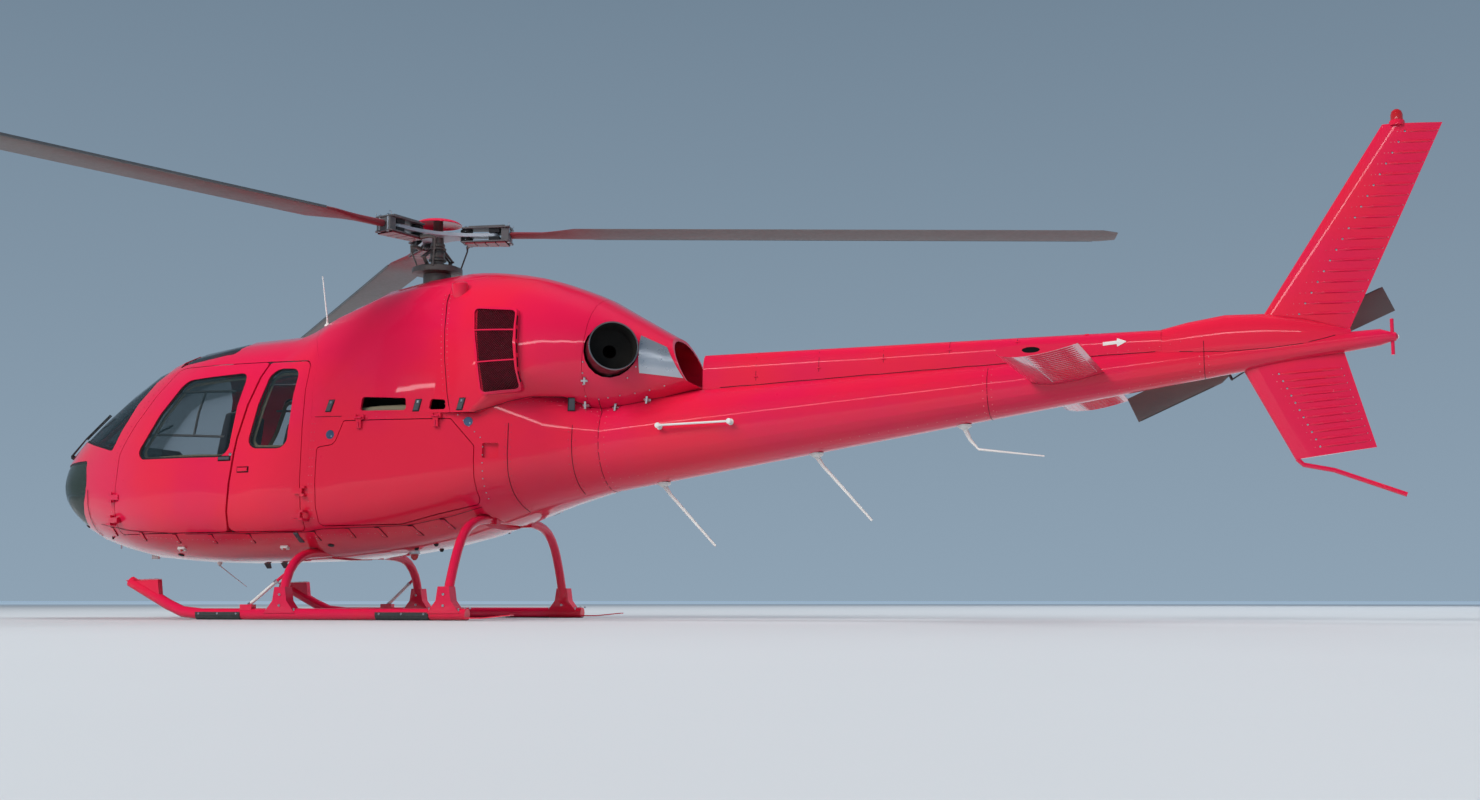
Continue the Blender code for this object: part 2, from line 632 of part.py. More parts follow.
# Cabin floor with a raised tread plate ahead of the rear bench, rear bulkhead and instrument console
FLOOR_Z = FLOOR_TOP - TREAD_STEP
BULKHEAD_THICKNESS = 0.035
FLOOR_FINISH = (FLOOR_GREY, 0.7, 0.0)
floor_end = AFT_CABIN_X - BULKHEAD_THICKNESS - 0.001
floor_side = ((0.72, FLOOR_Z - FLOOR_THICKNESS), (floor_end, FLOOR_Z - FLOOR_THICKNESS),
              (floor_end, FLOOR_Z), (0.66, FLOOR_Z))
floor = add("cabin_floor", body_solid("cabin_floor", WALL + GAP, 0.05, 3.2, True), FLOOR_FINISH)
boolean(floor, "INTERSECT", add_cutter("floor_slab", prism("floor_slab", rounded(floor_side), -1.2, 1.2)))
(tread_x, tread_y), (tread_end_x, tread_end_y) = TREAD_PLATE
tread = box("tread_plate", (tread_x, tread_y, FLOOR_Z - 0.01), (tread_end_x, tread_end_y, FLOOR_TOP))
boolean(floor, "UNION", add_cutter("tread_plate", tread))

wall_front, wall_back = AFT_CABIN_X - BULKHEAD_THICKNESS, AFT_CABIN_X - 2 * GAP
wall_side = ((wall_front, 0.30), (wall_back, 0.30), (wall_back, DECK_Z), (2.875, 1.98), (2.46, 2.60),
             (2.42, 2.60), (2.84, 1.975), (wall_front, DECK_Z - 0.01))
bulkhead = add("cabin_bulkhead", body_solid("cabin_bulkhead", WALL + GAP, 0.05, 3.2, True), FLOOR_FINISH)
boolean(bulkhead, "INTERSECT", add_cutter("wall_slab", prism("wall_slab", rounded(wall_side), -1.2, 1.2)))

PEDESTAL = ((0.80, FLOOR_Z + GAP), (1.42, FLOOR_Z + GAP), (1.38, 0.95), (1.02, 1.02), (1.00, 1.12),
            (0.86, 1.10))
PANEL = ((0.84, 1.06), (1.02, 1.06), (0.99, 1.34), (0.93, 1.40), (0.80, 1.36), (0.78, 1.20))
console = joined("console", [
    prism("pedestal", rounded(PEDESTAL, 0.01), -0.13, 0.13),
    prism("panel", rounded(PANEL, 0.02), -0.43, 0.20),
])
add("instrument_console", console, MATTE)

# Seats: plain solids at the size of the real cushions and backs
SEAT = ((1.62, 0.30), (1.62, 0.44), (2.06, 0.42), (2.20, 1.02), (2.29, 1.02), (2.17, 0.30))
SEAT_STAND = (1.66, 2.10)
SEAT_STAND_TOP = 0.32


def seat(name, x_shift, y, half_width, base):
    outline = [(a + x_shift, FLOOR_TOP + b) for a, b in SEAT]
    stand_front, stand_back = (x + x_shift for x in SEAT_STAND)
    legs = [(stand_front, FLOOR_Z + GAP), (stand_front, FLOOR_TOP + SEAT_STAND_TOP),
            (stand_back, FLOOR_TOP + SEAT_STAND_TOP), (stand_back, FLOOR_Z + GAP)]
    cushion = prism(name, rounded(outline, 0.04, 3), y - half_width, y + half_width)
    stand = prism(name + "_stand", legs, y - base, y + base)
    return add(name, joined(name, [cushion, stand]), (SEAT_CLOTH, 0.85, 0.0))


seat("front_seat_left", -0.22, -0.42, 0.24, 0.17)
seat("front_seat_right", -0.22, 0.42, 0.24, 0.17)
seat("rear_bench", 0.58, 0.0, 0.72, 0.60)

# Deck machinery: one plain block for the gearbox and one for each engine
UP = (0, 0, 1)
GEARBOX_HEIGHT = 0.745
GEARBOX = ((0.22, 0.0), (0.22, 0.22), (0.14, 0.42), (0.11, GEARBOX_HEIGHT))
add("main_gearbox", turned(GEARBOX, (MAST_X, 0, DECK_Z + GAP), UP, 20), STEEL)
ENGINE_AFT_X = 4.83
ENGINE_SIDE = ((4.08, DECK_Z + GAP), (4.08, 2.16), (ENGINE_AFT_X, 2.16), (ENGINE_AFT_X, 1.76),
               (4.20, 1.76), (4.20, DECK_Z + GAP))
for word, side in SIDES:
    low, high = sorted((side * 0.06, side * 0.50))
    add(f"engine_{word}", prism("engine", ENGINE_SIDE, low, high), STEEL)

# Cowls
front_cowl_side = ((2.88 + GAP, 1.99 + GAP), (AFT_CABIN_X + GAP, DECK_Z + GAP),
                   (COWL_SPLIT_X, DECK_Z + GAP), COWL_SPLIT_TOP, (2.28, 2.90))
engine_cowl_side = ((COWL_SPLIT_X + SEAM / 2, DECK_Z + GAP),)
engine_cowl_side += tuple((x, z + GAP) for x, z in AFT_DECK)
engine_cowl_side += (REAR_SPLIT[0], (COWL_SPLIT_TOP[0] + SEAM / 2, 2.90))
rear_cowl_side = ((REAR_SPLIT[1][0] + SEAM / 2, REAR_SPLIT[1][1]), (BOOM_START_X, REAR_SPLIT[1][1]),
                  (5.10, 1.45), (5.78, 1.60), (5.765, 1.70), (5.685, 1.75), (5.56, 2.07), (5.52, 2.9),
                  (REAR_SPLIT[0][0] + SEAM / 2, 2.9))
VENT_FRONT = ((3.325, 1.545, 0.02), (3.33, 1.65, 0.02), (3.68, 1.632, 0.02), (3.69, 1.54, 0.02))
VENT_REAR = ((3.865, 1.54, 0.02), (3.875, 1.622, 0.02), (3.995, 1.61, 0.02), (4.0, 1.54, 0.02))

EXHAUST_RADIUS = 0.185
EXHAUST_THROAT = 0.150
EXHAUST_PLATE = 0.008
EXHAUST_END = Vector((5.235, 0.56, 1.985))
EXHAUST_BEND = Vector((5.054, 0.287, 1.939))
exhaust_holes = []
for word, side in SIDES:
    start = Vector((ENGINE_AFT_X - 0.05, side * 0.29, 1.98))
    bend = Vector((EXHAUST_BEND.x, side * EXHAUST_BEND.y, EXHAUST_BEND.z))
    end = Vector((EXHAUST_END.x, side * EXHAUST_END.y, EXHAUST_END.z))
    outward = (end - bend).normalized()
    route = [start, start.lerp(bend, 0.6), bend.lerp(end, 0.25), bend.lerp(end, 0.6), end]
    radii = [EXHAUST_THROAT, EXHAUST_THROAT, 0.165, EXHAUST_RADIUS, EXHAUST_RADIUS]
    pipe = add(f"exhaust_pipe_{word}", tube(route, EXHAUST_RADIUS, 18, radii), DARK)
    face = add_cutter(f"exhaust_face_{word}", box("face", (4.5, -1, 1.5), (ENGINE_AFT_X + GAP, 1, 2.5)))
    bore_route = [start.lerp(bend, 0.45)] + route[1:4] + [end + outward * 0.05]
    bore_radii = [r - EXHAUST_PLATE for r in radii]
    bore = add_cutter(f"exhaust_bore_{word}", tube(bore_route, 0.1, 18, bore_radii))
    boolean(pipe, "DIFFERENCE", face, bore)
    hole_radius = EXHAUST_RADIUS + 0.012
    hole = turned(((hole_radius, -0.32), (hole_radius, 0.25)), end, outward, 20)
    exhaust_holes.append(add_cutter(f"exhaust_hole_{word}", hole))

for name, side_view in (
    ("transmission_cowl", front_cowl_side),
    ("engine_cowl", engine_cowl_side),
    ("rear_fairing", rear_cowl_side),
):
    cowl = add(name, cowl_solid(name), RED_PAINT)
    boolean(cowl, "DIFFERENCE", cowl_cavity)
    boolean(cowl, "INTERSECT", add_cutter(name + "_side", prism(name, rounded(side_view), -1.3, 1.3)))
    if name == "transmission_cowl":
        mast_hole = turned(((0.19, 0.0), (0.19, 1.0)), (MAST_X, 0, 2.2), UP, 24)
        boolean(cowl, "DIFFERENCE", add_cutter("mast_hole", mast_hole))
        for word, side in SIDES:
            boolean(
                cowl,
                "DIFFERENCE",
                side_cutter(f"front_vent_{word}", VENT_FRONT, side, inner=0.4),
                side_cutter(f"rear_vent_{word}", VENT_REAR, side, inner=0.4),
            )
    else:
        boolean(cowl, "DIFFERENCE", *exhaust_holes)

boom_clear = add_cutter("boom_clearance", loft("boom_clearance", [
    boom_ring(x, GAP * 2) for x in (BOOM_START_X - 0.1, 7.9, BOOM_END_X)
]))
boolean(bpy.data.objects["rear_fairing"], "DIFFERENCE", boom_clear)

# Side intakes with mesh faces, standing off the engine cowl
INTAKE_DEPTH = 0.07
INTAKE = ((4.285, 1.68, 0.03), (4.155, 2.28, 0.03), (4.45, 2.40, 0.03), (4.60, 1.70, 0.05))
for word, side in SIDES:
    rings = [cowl_ring(x, -INTAKE_DEPTH) for x in COWL_STATIONS if 3.95 < x < 4.85]
    standing_off = loft("intake", rings)
    intake = add(f"side_intake_{word}", standing_off, RED_PAINT)
    inner = add_cutter(f"intake_seat_{word}", cowl_solid("intake_seat", -GAP))
    boolean(intake, "INTERSECT", side_cutter(f"intake_cut_{word}", INTAKE, side, inner=0.3))
    boolean(intake, "DIFFERENCE", inner)

# Tail boom, its drive shaft cover and the fairing over the tail gearbox
BOOM_STATIONS = (BOOM_START_X + GAP, 7.9, 9.36, BOOM_END_X)
tail_cone = [boom_ring(x) for x in BOOM_STATIONS]
tip_z = boom_z(BOOM_END_X)
tail_cone.append(oval_ring(BOOM_END_X + 0.06, 0.035, tip_z + 0.035, tip_z, tip_z - 0.035, count=28))
boom = add("tail_boom", loft("tail_boom", tail_cone), RED_PAINT)

COVER_TOP = ((5.70, 1.965), (9.08, 1.985))
cover_rings = []
for x in (5.765, 7.0, 8.2, 9.08):
    crown = boom_z(x) + boom_radius(x)
    half = 0.115 - 0.02 * (x - 5.7) / 3.4
    cover_rings.append(oval_ring(x, half, along(COVER_TOP, x), crown - 0.01, crown - 0.10, 3.0, 2.0, 20))
cover = add("drive_shaft_cover", loft("drive_shaft_cover", cover_rings), RED_PAINT)
boolean(cover, "DIFFERENCE", boom_clear)

HUMP_TOP = ((9.085, 1.99), (9.20, 2.02), (9.55, 2.07), (9.80, 2.06), (10.30, 1.93))
hump_rings = []
for x in (9.0805, 9.25, 9.5, 9.75, 10.0, 10.30):
    crown = boom_z(x) + boom_radius(x)
    half = along(((9.08, 0.096), (9.5, 0.125), (9.8, 0.11), (10.3, 0.04)), x)
    hump_rings.append(oval_ring(x, half, along(HUMP_TOP, x), crown - 0.03, crown - 0.12, 2.4, 2.0, 20))
BOSS_END_Y = 0.145
boss = turned(((0.045, 0.03), (0.045, BOSS_END_Y)), (TAIL_HUB.x, 0, TAIL_HUB.z), (0, 1, 0), 16)
hump_mesh = joined("tail_gearbox_fairing", [loft("hump", hump_rings, True), boss])
hump = add("tail_gearbox_fairing", hump_mesh, RED_PAINT)
boolean(hump, "DIFFERENCE", boom_clear)

# Tail surfaces
STABILISER_Z = 1.655


def stabiliser_rings(outset, half_span):
    rings = []
    for y in (-half_span, half_span):
        le = (STABILISER_LE_X, y, STABILISER_Z)
        te = (STABILISER_LE_X + STABILISER_CHORD, y, STABILISER_Z + 0.035)
        rings.append(wing_ring(le, te, (0, 0, 1), 0.072, camber=-0.012, outset=outset))
    return rings


add("stabiliser", loft("stabiliser", stabiliser_rings(0.0, STABILISER_HALF_SPAN)), RED_PAINT)
boolean(boom, "DIFFERENCE", add_cutter("stabiliser_slot", loft("slot", stabiliser_rings(2 * GAP, 0.6))))

hump_clear = add_cutter("hump_clearance", loft("hump_clearance", [
    [p + Vector((0, math.copysign(GAP * 2, p.y), GAP * 2)) for p in ring] for ring in hump_rings
], True))
# Each fin is (leading edge, trailing edge, thickness) at its root and at its tip
UPPER_FIN = (((9.587, 0, 1.80), (10.26, 0, 1.86), 0.085), ((10.55, 0, 3.30), (10.925, 0, 3.285), 0.045))
LOWER_FIN = (((9.58, 0, 1.74), (10.25, 0, 1.79), 0.085), ((9.92, 0, 1.07), (10.43, 0, 1.14), 0.05))


def fin_rings(ends, outset=0.0):
    return [wing_ring(le, te, (0, 1, 0), thickness, outset=outset) for le, te, thickness in ends]


upper_fin = add("upper_fin", loft("upper_fin", fin_rings(UPPER_FIN)), RED_PAINT)
boolean(upper_fin, "DIFFERENCE", boom_clear, hump_clear)

GUARD_RADIUS = 0.016
GUARD = ((9.93, 0, 1.075), (9.97, 0, 1.035), (10.16, 0, 0.995), (10.60, 0, 0.825))
guard = tube([Vector(p) for p in GUARD], GUARD_RADIUS, 8)
guarded_fin = joined("lower_fin", [loft("lower_fin", fin_rings(LOWER_FIN)), guard])
lower_fin = add("lower_fin", guarded_fin, RED_PAINT)
boolean(lower_fin, "DIFFERENCE", boom_clear)

BEACON = ((0.052, 0.0), (0.052, 0.03), (0.042, 0.035), (0.042, 0.085), (0.02, 0.11))
beacon = add("beacon", turned(BEACON, (10.645, 0, 3.29), UP, 16), (LAMP_RED, 0.2, 0.0))
fin_top = fin_rings(UPPER_FIN, GAP)
fin_top[1] = [point + Vector((0, 0, GAP)) for point in fin_top[1]]
boolean(beacon, "DIFFERENCE", add_cutter("fin_top", loft("fin_top", fin_top)))

LAMP_BODY = ((0.034, 0.0), (0.03, 0.035), (0.012, 0.05))
lamp_foot = BOOM_END_X + 0.06 + GAP
lamp_body = turned(LAMP_BODY, (lamp_foot, 0, tip_z), (1, 0, 0), 12)
lamp_bar = turned(((0.012, -0.12), (0.012, 0.12)), (lamp_foot + 0.015, 0, tip_z), UP, 10)
add("tail_lamp", joined("tail_lamp", [lamp_body, lamp_bar]), RED_PAINT)

# Skids, cross tubes and their fittings
SKID_PATH = ((1.45, 0.285), (1.62, 0.20), (1.80, 0.11), (1.93, 0.058), (2.10, SKID_RADIUS),
             (3.2, SKID_RADIUS), (4.32, SKID_RADIUS))
STEP = ((1.42, 0.292), (1.71, 0.300), (1.73, 0.155), (1.66, 0.175))
SPRING = ((4.28, 0.012), (4.45, 0.014), (4.67, 0.035), (4.67, 0.042), (4.45, 0.022), (4.28, 0.022))
for word, side in SIDES:
    y = side * SKID_HALF_TRACK
    path = [Vector((a, y, b)) for a, b in SKID_PATH]
    pieces = [tube(path, SKID_RADIUS, 12)]
    pieces.append(prism("step", STEP, y - 0.025, y + 0.025))
    pieces.append(prism("spring", SPRING, y - 0.03, y + 0.03))
    skid = add(f"skid_{word}", joined(f"skid_{word}", pieces), RED_PAINT)
    skid_clear = add_cutter(f"skid_clearance_{word}", tube(path[3:], SKID_RADIUS + GAP, 12))

# The shoe that holds a cross tube to its skid, as (distance along the skid, height)
SHOE = ((-0.13, 0.05), (0.13, 0.05), (0.06, 0.14), (0.045, 0.24), (-0.045, 0.24), (-0.06, 0.14))
SHOE_HALF_WIDTH = 0.047
COLLAR_Y = 0.30
COLLAR_HALF = 0.03
CLAMP_HALF_LENGTH = 0.05
STRUT_FOOT = ((2.45, 0.05), (2.55, 0.112))
STRUT_RADIUS = 0.012
for label, x, route, body, collar_low, collar_top in (
    ("front", FRONT_TUBE_X, front_route, cabin, 0.47, 0.60),
    ("rear", REAR_TUBE_X, rear_route, centre, 0.71, 0.80),
):
    pieces = [tube(route, TUBE_RADIUS, 10)]
    for word, side in SIDES:
        y = side * SKID_HALF_TRACK
        shoe = [(x + along_skid, z) for along_skid, z in SHOE]
        pieces.append(prism("shoe", shoe, y - SHOE_HALF_WIDTH, y + SHOE_HALF_WIDTH))
        low = (x - CLAMP_HALF_LENGTH, side * COLLAR_Y - COLLAR_HALF, collar_low)
        high = (x + CLAMP_HALF_LENGTH, side * COLLAR_Y + COLLAR_HALF, collar_top - GAP)
        pieces.append(box("collar", low, high))
        if label == "front":
            (foot_x, foot_z), (foot_end_x, foot_top) = STRUT_FOOT
            strut = [Vector((2.50, y, 0.10)), Vector((FRONT_TUBE_X - 0.02, y - side * 0.035, 0.33))]
            pieces.append(tube(strut, STRUT_RADIUS, 8))
            pieces.append(box("strut_foot", (foot_x, y - 0.03, foot_z), (foot_end_x, y + 0.03, foot_top)))
    gear = add(f"{label}_cross_tube", joined(f"{label}_cross_tube", pieces), RED_PAINT)
    for word, side in SIDES:
        boolean(gear, "DIFFERENCE", bpy.data.objects[f"skid_clearance_{word}"])
    pocket = box("pocket", (x - 0.06, -0.36, 0.44), (x + 0.06, 0.36, collar_top))
    boolean(body, "DIFFERENCE", add_cutter(f"{label}_collar_pocket", pocket))

# Main rotor: mast, three-armed star, sleeves and dome turn together
rotor_axis = pivot_at("main_rotor_axis", Vector((MAST_X, 0, HUB_Z)))
MAST_FOOT_Z = DECK_Z + GEARBOX_HEIGHT + 2 * GAP
MAST = ((0.07, MAST_FOOT_Z - HUB_Z), (0.07, -0.42), (0.055, -0.30), (0.055, -0.12), (0.12, -0.08),
        (0.12, 0.06), (0.05, 0.08))
DOME = ((0.11, 0.05), (0.185, 0.065), (0.19, 0.075), (0.14, 0.10), (0.04, 0.112))
ARM = ((0.0, -0.14), (0.0, 0.14), (0.30, 0.08), (0.50, 0.06), (0.50, -0.06), (0.30, -0.08))
ARM_HALF_HEIGHT = 0.035
SLEEVE = ((0.20, -0.075), (0.20, 0.075), (SLEEVE_END, 0.10), (SLEEVE_END, -0.10))
SLEEVE_HALF_HEIGHT = 0.075
hub = (MAST_X, 0, HUB_Z)
head_pieces = [turned(MAST, hub, UP, 20), turned(DOME, hub, UP, 24)]
for angle in ROTOR_REST_DEG:
    turn = Matrix.Translation(hub) @ Matrix.Rotation(math.radians(angle), 4, "Z")
    arm = prism("arm", rounded(ARM), -ARM_HALF_HEIGHT, ARM_HALF_HEIGHT, "Z")
    sleeve = prism("sleeve", rounded(SLEEVE, 0.01, 2), -SLEEVE_HALF_HEIGHT, SLEEVE_HALF_HEIGHT, "Z")
    for mesh in (arm, sleeve):
        mesh.transform(turn)
        head_pieces.append(mesh)
head = joined("rotor_head", head_pieces)
add("rotor_head", head, STEEL, rotor_axis)

BLADE_FINISH = (BLADE_GREY, 0.45, 0.2)
BLADE_PLAN = ((SLEEVE_END + GAP, 0.10, 0.055), (0.85, 0.13, 0.05), (1.15, BLADE_CHORD, 0.042),
              (ROTOR_RADIUS - 0.12, BLADE_CHORD, 0.040), (ROTOR_RADIUS, BLADE_CHORD * 0.7, 0.022))
for number, angle in enumerate(ROTOR_REST_DEG, 1):
    rings = []
    for r, chord, thickness in BLADE_PLAN:
        rise = (r - SLEEVE_END) * math.tan(math.radians(BLADE_CONE_DEG))
        rings.append(wing_ring((r, 0.3 * chord, rise), (r, -0.7 * chord, rise), (0, 0, 1), thickness, 8))
    blade = loft(f"main_blade_{number}", rings)
    blade.transform(Matrix.Translation(hub) @ Matrix.Rotation(math.radians(angle), 4, "Z"))
    add(f"main_blade_{number}", blade, BLADE_FINISH, rotor_axis)

SWASH = ((0.11, 0.0), (0.20, 0.01), (0.20, 0.05), (0.11, 0.06))
swash = add("swashplate", joined("swashplate", [
    turned(SWASH, (MAST_X, 0, 2.72), UP, 24),
    turned(((0.11, 0.0), (0.11, 0.5)), (MAST_X, 0, MAST_FOOT_Z), UP, 24),
]), STEEL)
mast_bore = turned(((0.085, 0.0), (0.085, 2.0)), (MAST_X, 0, 2.0), UP, 24)
boolean(swash, "DIFFERENCE", add_cutter("mast_bore", mast_bore))

# Tail rotor: two blades on a shaft out of the gearbox, on the starboard side
tail_axis = pivot_at("tail_rotor_axis", TAIL_HUB)
shaft_start = BOSS_END_Y + GAP - TAIL_HUB.y
TAIL_SHAFT = ((0.03, shaft_start), (0.03, -0.06), (0.055, -0.05), (0.055, 0.05), (0.03, 0.07))
# Each station of a tail blade is (radius, chord, thickness)
TAIL_BLADE = ((0.02, 0.07, 0.03), (0.20, 0.08, 0.028), (0.30, TAIL_CHORD, 0.022),
              (TAIL_RADIUS, TAIL_CHORD, 0.018))
tail_pieces = [turned(TAIL_SHAFT, (0, 0, 0), (0, 1, 0), 16)]
for half_turn in (0, 180):
    turn = Matrix.Rotation(math.radians(TAIL_REST_DEG + half_turn), 4, "Y")
    rings = []
    for r, chord, thickness in TAIL_BLADE:
        rings.append(wing_ring((r, 0, 0.35 * chord), (r, 0, -0.65 * chord), (0, 1, 0), thickness, 8))
    blade = loft("tail_blade", rings)
    blade.transform(turn)
    tail_pieces.append(blade)
tail_rotor = joined("tail_rotor", tail_pieces)
tail_rotor.transform(Matrix.Translation(TAIL_HUB))
add("tail_rotor", tail_rotor, BLADE_FINISH, tail_axis)
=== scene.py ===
"""A light helicopter on skids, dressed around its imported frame.

Meshes are made at stations measured in metres aft of the nose (x), to starboard (y) and above
the ground (z), as the aircraft's own drawings would be, and each piece stands at -DATUM.
"""
import math

import bmesh
import bpy
from mathutils import Matrix, Vector
from mathutils.bvhtree import BVHTree


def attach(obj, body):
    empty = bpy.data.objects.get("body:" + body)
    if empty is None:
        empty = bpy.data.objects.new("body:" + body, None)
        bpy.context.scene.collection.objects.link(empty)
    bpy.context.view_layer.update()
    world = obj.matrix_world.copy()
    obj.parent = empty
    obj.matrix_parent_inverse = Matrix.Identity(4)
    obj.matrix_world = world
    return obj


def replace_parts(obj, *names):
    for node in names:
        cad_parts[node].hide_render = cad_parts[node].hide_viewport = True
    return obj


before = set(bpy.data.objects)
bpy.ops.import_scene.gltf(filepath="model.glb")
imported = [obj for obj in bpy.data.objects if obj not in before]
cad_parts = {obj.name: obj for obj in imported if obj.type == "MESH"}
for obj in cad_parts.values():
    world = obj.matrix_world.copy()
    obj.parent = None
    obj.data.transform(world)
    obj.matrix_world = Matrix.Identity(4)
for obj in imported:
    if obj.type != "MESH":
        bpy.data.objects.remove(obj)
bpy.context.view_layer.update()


# ---- Body panels ----
# Cabin shell, centre fuselage, doors, cowls and tail cone: thin sheet and composite panels, riveted
# and bolted to frames, under a deep crimson paint with a clear coat that shows a faint orange peel.
DATUM = Vector((2.20, 0.0, 0.63))
SIDES = (("left", -1), ("right", 1))
X, Y, Z = Vector((1, 0, 0)), Vector((0, 1, 0)), Vector((0, 0, 1))

# The lines that the body was lofted on, as (station, value)
BODY = dict(
    width=((0.0, 0.03), (0.02, 0.09), (0.07, 0.17), (0.15, 0.26), (0.37, 0.44), (0.68, 0.60),
           (1.0, 0.73), (1.4, 0.85), (1.9, 0.92), (2.5, 0.935), (3.0, 0.92), (3.4, 0.89),
           (3.9, 0.82), (4.3, 0.70), (4.7, 0.50), (5.03, 0.365)),
    top=((0.0, 1.12), (0.02, 1.20), (0.06, 1.28), (0.15, 1.38), (0.4, 1.58), (0.8, 1.86),
         (1.2, 2.08), (1.6, 2.20), (2.1, 2.25), (2.45, 2.26), (2.65, 2.34), (2.85, 2.45),
         (3.2, 2.59), (3.55, 2.66), (3.9, 2.70), (4.2, 2.45), (4.5, 2.12), (4.8, 1.83),
         (5.03, 1.685)),
    waist=((0.0, 1.10), (0.4, 1.06), (1.0, 1.02), (2.6, 1.02), (3.4, 1.05), (3.9, 1.10),
           (4.5, 1.21), (5.03, 1.32)),
    bottom=((0.0, 1.08), (0.02, 1.01), (0.06, 0.94), (0.15, 0.85), (0.37, 0.71), (0.68, 0.585),
            (1.2, 0.475), (1.8, 0.44), (2.6, 0.45), (3.2, 0.50), (3.8, 0.60), (4.3, 0.745),
            (4.7, 0.87), (5.03, 0.955)),
    upper=((0.0, 2.0), (1.0, 2.2), (1.8, 2.35), (3.9, 2.35), (4.6, 2.1), (5.03, 2.0)),
    lower=((0.0, 2.0), (0.8, 2.5), (1.6, 3.0), (3.2, 2.8), (4.2, 2.3), (5.03, 2.0)),
)
COWL = dict(
    width=((3.9, 0.82), (4.3, 0.76), (4.7, 0.65), (5.03, 0.53), (5.4, 0.40), (5.76, 0.26)),
    top=BODY["top"][9:15] + ((4.35, 2.65), (4.93, 2.46), (5.3, 2.25), (5.76, 1.98)),
    waist=((3.9, 1.10), (4.1, 1.42), (4.3, 1.66), (4.5, 1.80), (4.7, 1.89), (5.03, 1.93),
           (5.76, 1.82)),
    bottom=((3.9, 0.60), (4.1, 1.20), (4.3, 1.44), (4.5, 1.50), (4.7, 1.51), (5.03, 1.50),
            (5.4, 1.56), (5.76, 1.69)),
    upper=((3.9, 2.3), (5.0, 2.3)),
    lower=((3.9, 2.3), (4.3, 2.0)),
)
COWL_START = 3.9
BOOM_START, BOOM_LENGTH = 5.03, 5.45
BOOM_RADIUS, BOOM_TAPER = 0.365, 0.31
BOOM_HEIGHT, BOOM_RISE = 1.32, 0.546
BOOM_FLARE, BOOM_SLOPE = 0.057, 0.1

CRIMSON = (0.70, 0.008, 0.060)
CRIMSON_WARM = (0.74, 0.012, 0.045)


class Signal:
    """A node's output. Arithmetic on it adds the Math node that does it."""

    def __init__(self, finish, output):
        self.finish = finish
        self.output = output

    def maths(self, operation, *values):
        """A Math node of this signal's finish, over the values or over the signal itself."""
        values = dict(enumerate(values or (self,)))
        return self.finish.node("ShaderNodeMath", {"operation": operation}, values)

    def __add__(self, other):
        return self.maths("ADD", self, other)

    def __sub__(self, other):
        return self.maths("SUBTRACT", self, other)

    def __rsub__(self, other):
        return self.maths("SUBTRACT", other, self)

    def __mul__(self, other):
        return self.maths("MULTIPLY", self, other)

    __radd__ = __add__
    __rmul__ = __mul__

    def ramp(self, low, high):
        """0 below low, 1 above high, smooth between."""
        settings = {"interpolation_type": "SMOOTHSTEP"}
        values = {0: self, 1: low, 2: high, 3: 0.0, 4: 1.0}
        return self.finish.node("ShaderNodeMapRange", settings, values)


class Finish:
    """One surface finish. Plain numbers sit on the shader's own sockets."""

    def __init__(self, name, **sockets):
        self.material = bpy.data.materials.new(name)
        self.material.use_nodes = True
        self.tree = self.material.node_tree
        self.shader = self.tree.nodes["Principled BSDF"]
        self.where = self.node("ShaderNodeTexCoord", {}, {}, "Object")
        self.put(**sockets)

    def node(self, kind, settings, values, output=0):
        made = self.tree.nodes.new(kind)
        for name, value in settings.items():
            setattr(made, name, value)
        for name, value in values.items():
            self.feed(made.inputs[name], value)
        return Signal(self, made.outputs[output])

    def feed(self, socket, value):
        if isinstance(value, Signal):
            self.tree.links.new(value.output, socket)
        else:
            socket.default_value = value

    def put(self, **sockets):
        for name, value in sockets.items():
            self.feed(self.shader.inputs[name.replace("_", " ")], value)
        return self

    def noise(self, scale, detail=3.0, stretch=None):
        where = self.where
        if stretch:
            settings = {"operation": "MULTIPLY"}
            where = self.node("ShaderNodeVectorMath", settings, {0: where, 1: stretch})
        values = {"Vector": where, "Scale": scale, "Detail": detail}
        return self.node("ShaderNodeTexNoise", {}, values)

    def axis(self, name):
        return self.node("ShaderNodeSeparateXYZ", {}, {0: self.where}, name)

    def blend(self, factor, a, b):
        a, b = (shade if isinstance(shade, Signal) else (*shade, 1) for shade in (a, b))
        return self.node("ShaderNodeMix", {"data_type": "RGBA"}, {0: factor, 6: a, 7: b}, 2)

    def relief(self, height, strength, depth):
        """Bumps of a height, which is a signal or the scale of a noise."""
        height = height if isinstance(height, Signal) else self.noise(height)
        values = {"Strength": strength, "Distance": depth, "Height": height}
        return self.put(Normal=self.node("ShaderNodeBump", {}, values))


def mottled(name, grain, light, dark, least, spread, scale, detail=3.0, **sockets):
    """Two close shades mixed by a noise of the given grain, (scale, detail), over a roughness that
    wanders from least by spread."""
    finish = Finish(name, **sockets)
    finish.put(Base_Color=finish.blend(finish.noise(*grain), light, dark))
    return finish.put(Roughness=finish.noise(scale, detail) * spread + least)


def painted(name, colour=CRIMSON, mottle_colour=CRIMSON_WARM, coat=1.0):
    paint = Finish(name, Metallic=0.0, Specular_IOR_Level=0.12, Coat_Roughness=0.04,
                   Coat_Weight=coat, Coat_IOR=1.42)
    paint.put(Base_Color=paint.blend(paint.noise(0.9, 4.0).ramp(0.38, 0.62), colour, mottle_colour))
    paint.put(Roughness=paint.noise(14.0, 5.0) * 0.14 + 0.24)
    return paint.relief(paint.noise(420.0, 1.0), 0.035, 0.002)


